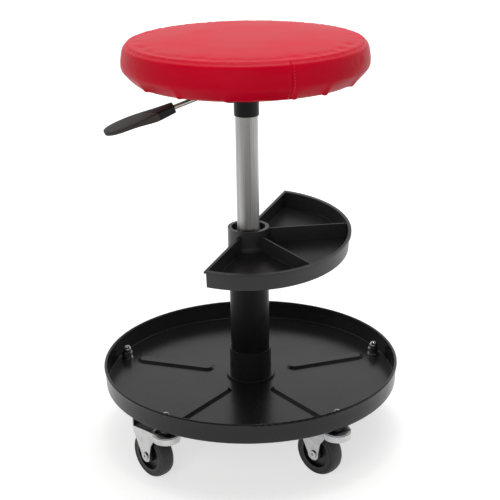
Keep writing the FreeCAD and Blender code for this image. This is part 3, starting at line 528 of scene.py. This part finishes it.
# %% Turned and pressed pieces
for node, finish, width in [
        ("column_socket", enamel, 0.4), ("socket_flange", enamel, 0.3), ("column_tube", column_paint, 0.5),
        ("guide_sleeve", nylon, 0.3), ("taper_socket", column_paint, 0.3), ("pressure_tube", chrome, 0.2),
        ("lever_rod", zinc, 0.2), ("castor_race_cups", zinc, 0.35), ("dome_nuts", zinc, 0.3),
        ("plain_washers", zinc, 0.2), ("spring_washers", zinc, 0.2), ("castor_studs", zinc, 0.2),
        ("mechanism_box", column_paint, 0.4), ("seat_plate", column_paint, 0.4), ("seat_screws", zinc, 0.2),
        ("seat_board", plywood, 0.3)]:
    print(node, "edges rounded:", rounded_copy(node, finish, width))

# %% [markdown]
# The pan is drawn from one sheet. Its rim is rolled outward and its corner is pressed to a small
# radius, both already smooth in the CAD shape, so only the edges of the raised beads and the
# bolt holes are rounded here. They are found by their place: inside the wall and near the floor.

# %% Base pan
bead_round, bead_segments, bead_angle = 1.0, 3, 12
bead_reach, bead_rise = 0.94, 6.0
pan_smooth_angle = 50


def make_pan():
    """Round the beads' edges and the holes, and leave the rolled rim alone."""
    bm = merged_copy("base_pan")
    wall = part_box("base_pan")[1].x * bead_reach
    floor_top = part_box("plain_washers")[0].z
    beads = []
    for edge in sharp_edges(bm, bead_angle):
        middle = (edge.verts[0].co + edge.verts[1].co) / 2
        if middle.xy.length < wall and middle.z < floor_top + bead_rise * MM:
            beads.append(edge)
    print("bead edges rounded:", len(beads))
    soften(bm, beads, bead_round, bead_segments)
    even_shading(finish_piece("base_pan_piece", bm, enamel, "base_pan", pan_smooth_angle))


make_pan()

# %% [markdown]
# The tray is injection moulded: its floor runs up into the walls and dividers in a generous
# radius, and its rims are only just broken. To tell the two kinds of edge apart, the copy is
# turned level first, because the real tray droops a few degrees, and turned back at the end.

# %% Tool tray
tray_droop = math.radians(6.1)
tray_rim_height = 278.0 * MM
tray_floor_height, floor_tolerance = 258.2 * MM, 0.4 * MM
floor_round, floor_segments = 5.0, 4
rim_round, rim_angle = 0.5, 40


def make_tray():
    """Wide fillets along the compartments' floors, fine ones on the rims and the hub."""
    bm = merged_copy("tool_tray")
    pivot = Vector((0, 0, tray_rim_height))
    level = Matrix.Rotation(-tray_droop, 3, "X")
    bmesh.ops.rotate(bm, cent=pivot, matrix=level, verts=bm.verts)
    floor_edges = [edge for edge in sharp_edges(bm)
                   if all(abs(vert.co.z - tray_floor_height) < floor_tolerance for vert in edge.verts)]
    print("floor edges rounded:", len(floor_edges))
    soften(bm, floor_edges, floor_round, floor_segments)
    soften(bm, sharp_edges(bm, rim_angle), rim_round)
    bmesh.ops.rotate(bm, cent=pivot, matrix=level.inverted(), verts=bm.verts)
    even_shading(finish_piece("tool_tray_piece", bm, polypropylene, "tool_tray", rim_angle))


make_tray()

# %% [markdown]
# A castor fork is pressed from 2 mm zinc-plated sheet, so its edges are rounded by the press. The
# axle is a turned pin, and the wheel's core is moulded, so both have finely rounded edges too.

# %% Castor forks, axles and cores
fork_round, fork_segments = 0.5, 3
axle_round, core_round = 0.3, 0.5
for castor in castors:
    rounded_copy("castor_fork_" + castor, zinc, fork_round, fork_segments)
    rounded_copy("castor_axle_" + castor, zinc, axle_round)
    rounded_copy("castor_core_" + castor, core_plastic, core_round)
print("castors:", ", ".join(castors))

# %% [markdown]
# The wheel's tyre is turned here rather than copied, because the real one has a full round tread
# and a raised ring on each side that shows as a lighter band. Half of its section is written
# down, mirrored to the other side and spun about the axle.

# %% Tyres
tyre_steps, tyre_smooth_angle = 96, 50
# Radius and distance to the side in millimetres, from the bore to the middle of the tread
tyre_section = [(23.05, 8.4), (23.8, 8.9), (24.6, 8.9), (25.1, 8.3), (25.7, 8.4), (26.2, 9.1), (27.0, 9.2),
                (28.1, 8.4), (29.0, 6.9), (29.6, 4.9), (29.9, 2.5), (30.0, 0.0)]


def loop_of(bm, points):
    """A closed ring of vertices and its edges."""
    verts = [bm.verts.new(point) for point in points]
    return verts, [bm.edges.new((verts[index - 1], verts[index])) for index in range(len(verts))]


def make_tyre(castor):
    """Turn the tyre's section about the wheel's axle."""
    roll = joints["wheel_roll_" + castor]
    centre, axle = Vector(roll["pos_m"]), Vector(roll["axis"])
    section = tyre_section + [(radius, -side) for radius, side in reversed(tyre_section[:-1])]
    bm = bmesh.new()
    verts, edges = loop_of(bm, [centre + UP * radius * MM + axle * side * MM for radius, side in section])
    bmesh.ops.spin(bm, geom=verts + edges, cent=centre, axis=axle, angle=math.tau, steps=tyre_steps,
                   use_merge=True)
    bmesh.ops.remove_doubles(bm, verts=bm.verts, dist=merge_distance)
    bmesh.ops.recalc_face_normals(bm, faces=bm.faces)
    node = "castor_tyre_" + castor
    finish_piece(node + "_piece", bm, tyre_rubber, node, tyre_smooth_angle)


for castor in castors:
    make_tyre(castor)
print("tyres turned:", len(castors))

# %% [markdown]
# The handle is modelled as a row of sections along the lever: a deep narrow socket on the rod
# that flattens into a wide thin blade with a round end. Each section is joined to the next by
# Bridge Edge Loops, and a Subdivision Surface makes the moulded flow between them.

# %% Lever handle: its place and sections
lever_turn = math.radians(193.0)
handle_slope, handle_roll = math.radians(18.2), math.radians(-9.3)
handle_start, handle_top = 90.0, 444.4
corner_share = 0.3
# Each section: place along the handle, half width, height and edge round, in millimetres
handle_sections = [(0.0, 7.0, 9.6, 1.2), (1.2, 7.3, 10.0, 1.6), (10.0, 8.3, 10.6, 1.8),
                   (22.0, 9.9, 11.2, 1.8), (30.0, 11.6, 10.2, 1.8), (39.0, 13.4, 8.0, 1.8),
                   (48.0, 14.9, 6.2, 1.8), (57.0, 15.5, 5.3, 1.8), (68.0, 15.0, 5.2, 1.8),
                   (77.0, 13.6, 5.2, 1.8), (83.5, 11.0, 5.0, 1.8), (87.6, 7.6, 4.8, 1.6),
                   (89.6, 3.6, 4.4, 1.4)]
lever_to_part = (Matrix.Rotation(lever_turn, 4, "Z")
                 @ Matrix.Translation(Vector((handle_start, 0, handle_top)) * MM)
                 @ Matrix.Rotation(handle_slope, 4, "Y") @ Matrix.Rotation(handle_roll, 4, "X"))


def handle_ring(along, half, height, edge):
    """Twelve points of a rounded upright section whose top is level with the axis."""
    corner = edge * corner_share
    right = [(half - edge, 0.0), (half - corner, -corner), (half, -edge),
             (half, edge - height), (half - corner, corner - height), (half - edge, -height)]
    left = [(-across, up) for across, up in reversed(right)]
    return [Vector((along, across, up)) * MM for across, up in right + left]


print("handle sections:", len(handle_sections))

# %% [markdown]
# The handle is glass-filled nylon, moulded dark. On its blade a paler pad is painted in as a
# highlight, with a slanting edge that crosses the blade. The pad is a change of colour and a small
# step in the relief, both where the distance past that edge is more than nothing.

# %% Lever handle: its finish
# The pad's edge in millimetres, along and across the handle
pad_edge_start, pad_edge_end = Vector((21.0, 10.0, 0.0)), Vector((44.0, -14.0, 0.0))
pad_step = 1.2
# The pad's painted highlight colour, and the strength and height of its relief step
lit_pad_colour, pad_strength, pad_relief = "#3a3733", 0.6, 0.6


def handle_material():
    """Dark nylon at the socket, and beyond a slanting edge a paler pad painted as a highlight."""
    made = material("glass_filled_nylon", "#0d0c0b", 0.42, second="#121110", patch=14, grain=0.5,
                    relief=0.04, gloss=0.28)
    tree = made.node_tree
    along_edge = pad_edge_end - pad_edge_start
    to_pad = lever_to_part.to_3x3() @ Vector((-along_edge.y, along_edge.x, 0)).normalized()
    start = to_pad.dot(lever_to_part @ (pad_edge_start * MM))
    place = add(tree, "ShaderNodeTexCoord").outputs["Object"]
    reach = add(tree, "ShaderNodeVectorMath", {0: place, 1: to_pad}, operation="DOT_PRODUCT")
    on_pad = add(tree, "ShaderNodeMapRange", {"Value": reach.outputs["Value"], "From Min": start,
                                              "From Max": start + pad_step * MM}).outputs["Result"]
    base = tree.nodes["Principled BSDF"].inputs["Base Color"]
    # Painted highlight: the pad's paler colour beyond the slanting edge
    painted_lit_pad = add(tree, "ShaderNodeMix", {"Factor": on_pad, A_COLOUR: base.links[0].from_socket,
                                         B_COLOUR: srgb(lit_pad_colour)}, data_type="RGBA")
    tree.links.new(painted_lit_pad.outputs[MIXED], base)
    over_normal(made, on_pad, pad_strength, pad_relief)
    return made


nylon_with_lit_pad = handle_material()
print("pad past a step of %.1f mm" % pad_step)

# %% Lever handle: its mesh
flow_levels, handle_smooth_angle = 2, 80


def make_handle():
    """Bridge the sections one after another, close both ends and put the handle on the rod."""
    bm = bmesh.new()
    rings = [loop_of(bm, handle_ring(*section)) for section in handle_sections]
    for (_, near), (_, far) in zip(rings, rings[1:]):
        bmesh.ops.bridge_loops(bm, edges=near + far)
    for verts, _ in (rings[0], rings[-1]):
        bm.faces.new(verts)
    bmesh.ops.recalc_face_normals(bm, faces=bm.faces)
    bmesh.ops.transform(bm, matrix=lever_to_part, verts=bm.verts)
    piece = finish_piece("lever_paddle_piece", bm, nylon_with_lit_pad, "lever_paddle", handle_smooth_angle)
    smooth = piece.modifiers.new("moulded_flow", "SUBSURF")
    smooth.levels = smooth.render_levels = flow_levels
    print("handle faces before subdivision:", len(piece.data.polygons))


make_handle()

# %% [markdown]
# The cushion is a foam pad under a tight PVC cover, stapled under a plywood board. It starts as
# the CAD outline, turned a little too small, because the cloth will swell it. Its foot isn't made
# smaller, because that is where the cover is stapled.

# %% Cushion: its outline
start_slack, slack_fade = 0.7, 10.0
board_inset, board_depth = 18, 45
crease_depth, foot_depth = 34.5, 50.7
turn_steps, turn_merge = 180, 0.05
# From the middle of the crown over the shoulder and side to the board: inset from the side, depth
cushion_outline = [(150.7, 0.0), (110.0, 0.35), (75.0, 1.1), (40.0, 2.7), (18.0, 4.0), (10.0, 4.7),
                   (6.6, 5.3), (4.8, 6.4), (3.2, 8.4), (1.7, 11.5), (0.7, 16.0), (0.0, 23.0), (0.0, 30.0),
                   (0.3, 34.3), (3.0, 39.0), (6.0, 43.5), (8.6, 47.3), (10.9, 49.9), (13.8, 50.7),
                   (17.0, 50.4), (18.5, 45.5), (150.7, 45.5)]


def clipped(share):
    """A share held between 0 and 1."""
    return min(1.0, max(0.0, share))


def slack_at(inset, depth):
    """Millimetres that the start is inside the outline: none under the board or at the foot."""
    if inset >= board_inset and depth >= board_depth:
        return 0.0
    return start_slack * clipped((foot_depth - depth) / slack_fade)


def start_cushion():
    """Turn the outline, a little too small."""
    bm = bmesh.new()
    verts = []
    for inset, depth in cushion_outline:
        slack = slack_at(inset, depth)
        radius = max(0.0, cushion_side / MM - inset - slack)
        verts.append(bm.verts.new(Vector((radius, 0, cushion_top / MM - depth - slack)) * MM))
    verts[0].co.x = verts[-1].co.x = 0.0
    edges = [bm.edges.new(pair) for pair in zip(verts, verts[1:])]
    bmesh.ops.spin(bm, geom=verts + edges, cent=(0, 0, 0), axis=UP, angle=math.tau, steps=turn_steps,
                   use_merge=True)
    bmesh.ops.remove_doubles(bm, verts=bm.verts, dist=turn_merge * MM)
    bmesh.ops.recalc_face_normals(bm, faces=bm.faces)
    mesh = bpy.data.meshes.new("cushion_start")
    bm.to_mesh(mesh)
    bm.free()
    start = bpy.data.objects.new("cushion_start", mesh)
    bpy.context.scene.collection.objects.link(start)
    return start


print("cushion outline points:", len(cushion_outline))

# %% [markdown]
# The start is remeshed to even 4 mm cells and blown up as cloth, with its stapled underside held.
# The pressure fills the sides and the crown softly and unevenly, as real foam does, which a
# turned shape can't. How far a point may move is capped, and the crown, which the foam's own
# stiffness keeps flat, may move less than the foot.

# %% Cushion: the cloth
voxel, pressure, cloth_frames = 4.0, 4.0, 20
cloth_quality, cloth_mass = 6, 0.4
stretch_stiffness, shear_stiffness, bending_stiffness = 25, 8, 8
most_move, least_move = 1.6, 0.7
held_height, lip_height, lip_inset = 2.5, 8, 15


def applied(piece):
    """The piece's mesh with its modifiers worked in."""
    seen = piece.evaluated_get(bpy.context.evaluated_depsgraph_get())
    return bpy.data.meshes.new_from_object(seen)


def is_held(point):
    """True on the stapled underside and its lip."""
    height = (point.z - cushion_foot) / MM
    return height < held_height or (height < lip_height and point.xy.length < cushion_side - lip_inset * MM)


def capped(old, new):
    """The new place, or as far toward it as a point at the old place may move."""
    move = new - old
    depth = clipped((cushion_top - old.z) / MM / foot_depth)
    most = (least_move + (most_move - least_move) * depth) * MM
    return old + move.normalized() * most if move.length > most else new


def blow_up(piece):
    """Run the cover as cloth under pressure, hold its underside and cap how far a point may move."""
    before = [vert.co.copy() for vert in piece.data.vertices]
    held = piece.vertex_groups.new(name="stapled")
    held.add([vert.index for vert in piece.data.vertices if is_held(vert.co)], 1.0, "REPLACE")
    cloth = piece.modifiers.new("pvc_cover", "CLOTH")
    settings = cloth.settings
    settings.quality = cloth_quality
    settings.mass = cloth_mass
    settings.tension_stiffness = settings.compression_stiffness = stretch_stiffness
    settings.shear_stiffness = shear_stiffness
    settings.bending_stiffness = bending_stiffness
    settings.use_pressure = True
    settings.uniform_pressure_force = pressure
    settings.effector_weights.gravity = 0
    settings.vertex_group_mass = "stapled"
    cloth.point_cache.frame_start, cloth.point_cache.frame_end = 1, cloth_frames
    for moment in range(1, cloth_frames + 1):
        bpy.context.scene.frame_set(moment)
    blown = applied(piece)
    lengths = sorted((vert.co - old).length / MM for vert, old in zip(blown.vertices, before))
    print("cover moved: middle %.2f mm, most %.2f mm" % (lengths[len(lengths) // 2], lengths[-1]))
    for vert, old in zip(blown.vertices, before):
        vert.co = capped(old, vert.co)
    piece.modifiers.clear()
    piece.data = blown
    bpy.context.scene.frame_set(1)


def swollen_cushion():
    piece = start_cushion()
    remesh = piece.modifiers.new("even_cells", "REMESH")
    remesh.mode = "VOXEL"
    remesh.voxel_size = voxel * MM
    piece.data = applied(piece)
    piece.modifiers.clear()
    blow_up(piece)
    smooth = piece.modifiers.new("once_finer", "SUBSURF")
    smooth.levels = smooth.render_levels = 1
    mesh = applied(piece)
    bpy.data.objects.remove(piece)
    return mesh


swollen = swollen_cushion()
print("cushion faces:", len(swollen.polygons))

# %% [markdown]
# Folds and seams come after the cloth, because a remesh wipes them out. Between the folds of its
# lower edge the cover is pulled in nearly straight, so the edge is a soft polygon, and each fold
# stands out a little. Each straight is worked out as a low arch between two folds.

# %% Cushion: folds
# Azimuths of the cover's folds and how far each stands out, in degrees and millimetres
edge_folds = [(-146, 0.9), (-123, 1.0), (-99, 0.9), (-67, 0.8), (-50, 1.5), (-28, 0.9), (-5, 0.7), (17, 1.1),
              (43, 0.8), (64, 1.2), (91, 0.7), (112, 1.0), (137, 1.3), (158, 0.8), (184, 1.0)]
fold_width = math.radians(2.4)
fold_strength, fold_inset = 1.2, 22
chord_pull, crease_slope = 2.2, 1.6


def edge_shift(azimuth):
    """Millimetres outward at an azimuth: out at the folds, in along the chords between them."""
    gaps = [math.remainder(azimuth - math.radians(place), math.tau) for place, _ in edge_folds]
    before = max(gap for gap in gaps if gap <= 0) if any(gap <= 0 for gap in gaps) else min(gaps)
    after = min(gap for gap in gaps if gap > 0) if any(gap > 0 for gap in gaps) else max(gaps)
    share = after / (after - before)
    arch = 4 * share * (1 - share)
    out = max(stands * math.exp(-(gap / fold_width) ** 2) for gap, (_, stands) in zip(gaps, edge_folds))
    return out - chord_pull * arch


def fold_move(point):
    """How the lower band moves: in below the crease, out and down at each fold."""
    depth = (cushion_top - point.z) / MM
    low = clipped((depth - crease_depth) / (foot_depth - crease_depth))
    if low == 0 or point.xy.length < cushion_side - fold_inset * MM:
        return Vector()
    shift = edge_shift(math.atan2(point.y, point.x))
    outward = Vector((point.x, point.y, 0)).normalized() * (fold_strength * shift - crease_slope) * low
    return (outward - UP * fold_strength * max(0.0, shift) * low ** 2) * MM


print("folds round the foot:", len(edge_folds))

# %% [markdown]
# The top disc is sewn to the side band at the shoulder, where the thread puckers the vinyl into a
# thin ridge. The band's two ends meet in one upright seam at the front right: a groove with a
# turned-under ridge on its left and a row of topstitches on its right. Each seam's section is a
# sum of smooth bumps. Cuts are made beside the seams, and at the crease above the lower band, so
# that the mesh is fine enough to carry them.

# %% Cushion: seams
seam_azimuth = math.radians(-70.0)
seam_out = Vector((math.cos(seam_azimuth), math.sin(seam_azimuth), 0))
seam_side = UP.cross(seam_out)
shoulder_slope = 1.4
# The upright seam's side of the cushion starts this far out from the axis, in metres
seam_side_start = 0.1
# Bumps across a seam: height, place and width in millimetres
shoulder_bumps = [(0.7, 0.0, 1.4), (-0.3, 2.4, 0.9), (-0.25, -2.6, 1.1)]
pucker_bumps = [(0.3, 0.0, 1.4), (0.22, 0.0, 5.0)]
upright_bumps = [(0.5, -2.9, 1.6), (-1.3, 0.0, 0.8), (0.25, 2.4, 1.6)]
puckers_per_radian, pucker_slant, pucker_seed = 26, 0.15, 3.0
shoulder_inset, seam_start = 24, 2


def seam_height(bumps, distance):
    """Height at a distance from a seam, as the sum of its bumps."""
    return sum(height * math.exp(-((distance - place) / width) ** 2) for height, place, width in bumps)


def seam_lift(point):
    """Millimetres outward that the seams raise or sink a point of the cover."""
    lift = 0.0
    azimuth = math.atan2(point.y, point.x)
    if point.xy.length > cushion_side - shoulder_inset * MM:
        across = (point.z - shoulder_seam_height) / MM * shoulder_slope
        pucker = noise.noise(Vector((azimuth * puckers_per_radian, across * pucker_slant, pucker_seed)))
        lift += seam_height(shoulder_bumps, across) + pucker * seam_height(pucker_bumps, across)
    if point.dot(seam_out) > seam_side_start:
        below = clipped((shoulder_seam_height - point.z) / (seam_start * MM))
        lift += below * seam_height(upright_bumps, point.dot(seam_side) / MM)
    return lift


print("upright seam at %.0f degrees" % math.degrees(seam_azimuth))

# %% Cushion: cuts beside the seams
cut_places = [-5.0, -3.8, -2.8, -1.9, -1.1, -0.5, 0.0, 0.5, 1.1, 1.9, 2.8, 3.8, 5.0]
crease_cuts = (-0.6, 0.0, 0.6)
cut_tolerance = 0.02
# How far the cuts reach, in millimetres: up and down or sideways from a seam, and in from the side
shoulder_reach, shoulder_cut_inset = 7, 22
crease_reach, crease_cut_inset = 4, 10
upright_reach, upright_above, upright_cut_inset = 9, 3, 20


def near_shoulder(point):
    return (abs(point.z - shoulder_seam_height) < shoulder_reach * MM
            and point.xy.length > cushion_side - shoulder_cut_inset * MM)


def near_crease(point):
    return (abs(point.z - cushion_top + crease_depth * MM) < crease_reach * MM
            and point.xy.length > cushion_side - crease_cut_inset * MM)


def near_upright(point):
    return (point.dot(seam_out) > seam_side_start and abs(point.dot(seam_side)) < upright_reach * MM
            and point.z < shoulder_seam_height + upright_above * MM
            and point.xy.length > cushion_side - upright_cut_inset * MM)


def cut(bm, region, origin, normal):
    """Slice the faces near a seam along one plane."""
    faces = [face for face in bm.faces if region(face.calc_center_median())]
    edges = {edge for face in faces for edge in face.edges}
    verts = {vert for face in faces for vert in face.verts}
    bmesh.ops.bisect_plane(bm, geom=list(verts) + list(edges) + faces, dist=cut_tolerance * MM,
                           plane_co=origin, plane_no=normal)


print("cuts beside the seams:", 2 * len(cut_places) + len(crease_cuts))

# %% [markdown]
# Under the board the cover's hem lies flat between the staples and bunches into small pleats
# where the circle gets shorter. It is one ring of vinyl joined to the cushion's edge, with its
# cut inner edge a little ragged, and it gets the cover's material.

# %% Cushion: hem
hem_outer, hem_inner, hem_height, hem_sheet = 133.0, 112.0, 471.35, 0.8
hem_line = (0.0, 0.06, 0.25, 0.5, 0.75, 1.0)
hem_steps = 384
pleat_count, pleat_depth = 96, 0.35
pleat_wander, wander_rate = 5, 9
ragged_depth, ragged_rate = 1.2, 14


def make_hem():
    """Turn a short flat line into a ring, lift and sink it in pleats and give it a thickness."""
    bm = bmesh.new()
    line = [bm.verts.new(Vector((hem_outer + (hem_inner - hem_outer) * share, 0, hem_height)) * MM)
            for share in hem_line]
    edges = [bm.edges.new(pair) for pair in zip(line, line[1:])]
    bmesh.ops.spin(bm, geom=line + edges, cent=(0, 0, 0), axis=UP, angle=math.tau, steps=hem_steps,
                   use_merge=True)
    bmesh.ops.remove_doubles(bm, verts=bm.verts, dist=merge_distance)
    for vert in bm.verts:
        radius = vert.co.xy.length / MM
        azimuth = math.atan2(vert.co.y, vert.co.x)
        share = (hem_outer - radius) / (hem_outer - hem_inner)
        wave = noise.noise(Vector((math.cos(azimuth), math.sin(azimuth), 0)) * wander_rate)
        fold = math.sin(azimuth * pleat_count + pleat_wander * wave)
        vert.co.z -= (pleat_depth + pleat_depth * fold) * share * MM
        ragged = noise.noise(Vector((math.cos(azimuth), math.sin(azimuth), 2)) * ragged_rate)
        vert.co.xy *= (radius + ragged_depth * ragged * share) / radius
    bmesh.ops.recalc_face_normals(bm, faces=bm.faces)
    bmesh.ops.solidify(bm, geom=bm.faces, thickness=hem_sheet * MM)
    mesh = bpy.data.meshes.new("hem")
    bm.to_mesh(mesh)
    bm.free()
    return mesh


hem = make_hem()
print("hem faces:", len(hem.polygons))

# %% [markdown]
# Now the swollen mesh is cut, its seams and folds are raised along its normals, and the hem is
# joined to it. The cushion stands for the cover and the foam under it, which isn't seen.

# %% Cushion: the finished piece
cushion_smooth_angle = 60


def make_cushion():
    """Cut and lift the seams into the swollen mesh, join the hem and finish it in vinyl."""
    bm = bmesh.new()
    bm.from_mesh(swollen)
    for place in cut_places:
        height = Vector((0, 0, shoulder_seam_height + place / shoulder_slope * MM))
        cut(bm, near_shoulder, height, UP)
        cut(bm, near_upright, seam_side * place * MM, seam_side)
    for place in crease_cuts:
        cut(bm, near_crease, Vector((0, 0, cushion_top + (place - crease_depth) * MM)), UP)
    bm.normal_update()
    lifts = [(vert, vert.normal * seam_lift(vert.co) * MM + fold_move(vert.co)) for vert in bm.verts]
    for vert, lift in lifts:
        vert.co += lift
    bm.from_mesh(hem)
    piece = finish_piece("seat_cushion", bm, vinyl, "seat_cover", cushion_smooth_angle)
    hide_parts("seat_foam")
    heights = [vert.co.z / MM for vert in piece.data.vertices]
    print("cushion from %.1f to %.1f mm, faces %d" % (min(heights), max(heights), len(piece.data.polygons)))
    return piece


cushion = make_cushion()

# %% [markdown]
# The topstitches are short thread beads that lie in the cover's surface. A ray from outside
# finds the surface, so that they follow it down the band and turn under with it.

# %% Stitches
stitch_pitch, stitch_length, stitch_width = 3.6, 2.5, 0.75
stitch_side, first_stitch, last_stitch = 2.3, 2.5, 4
# The rays start this far out from the axis, in metres
ray_start = 0.25
bead_radius, bead_sides, bead_rings = 0.5, 8, 6
stitch_smooth_angle = 80


def make_stitches():
    """A row of stretched beads down the upright seam, each laid along the cover."""
    bm = bmesh.new()
    height = shoulder_seam_height / MM - first_stitch
    made = 0
    while height > cushion_foot / MM + last_stitch:
        start = seam_out * ray_start + seam_side * stitch_side * MM + UP * height * MM
        hit, place, normal, _ = cushion.ray_cast(start, -seam_out)
        if hit:
            along = (UP - normal * UP.dot(normal)).normalized()
            axes = Matrix((along.cross(normal), along, normal)).transposed().to_4x4()
            bead = bmesh.ops.create_uvsphere(bm, u_segments=bead_sides, v_segments=bead_rings,
                                             radius=bead_radius * MM)["verts"]
            bmesh.ops.scale(bm, vec=(stitch_width, stitch_length, stitch_width), verts=bead)
            bmesh.ops.transform(bm, matrix=Matrix.Translation(place) @ axes, verts=bead)
            made += 1
        height -= stitch_pitch
    finish_piece("side_seam_stitches", bm, thread, "seat_cover", stitch_smooth_angle)
    print("stitches:", made)


make_stitches()

# %% [markdown]
# What is sealed inside keeps its CAD mesh and only gets a finish: bearings, piston, buffer,
# bracket and pins.

# %% Inner pieces
inner_finishes = {"thrust_lower_race": steel, "thrust_balls": steel, "thrust_upper_race": steel,
                  "castor_race_balls": steel, "piston_rod": steel, "piston": steel, "rod_clip": steel,
                  "tube_end_guide": steel, "lever_pivot_pin": steel, "valve_pin": steel,
                  "cover_staples": steel, "rubber_buffer": rubber, "lever_bracket": column_paint,
                  "tee_nuts": zinc}
for node, finish in inner_finishes.items():
    mesh = nodes[node].data
    mesh.materials.clear()
    mesh.materials.append(finish)
print("inner pieces finished:", len(inner_finishes))
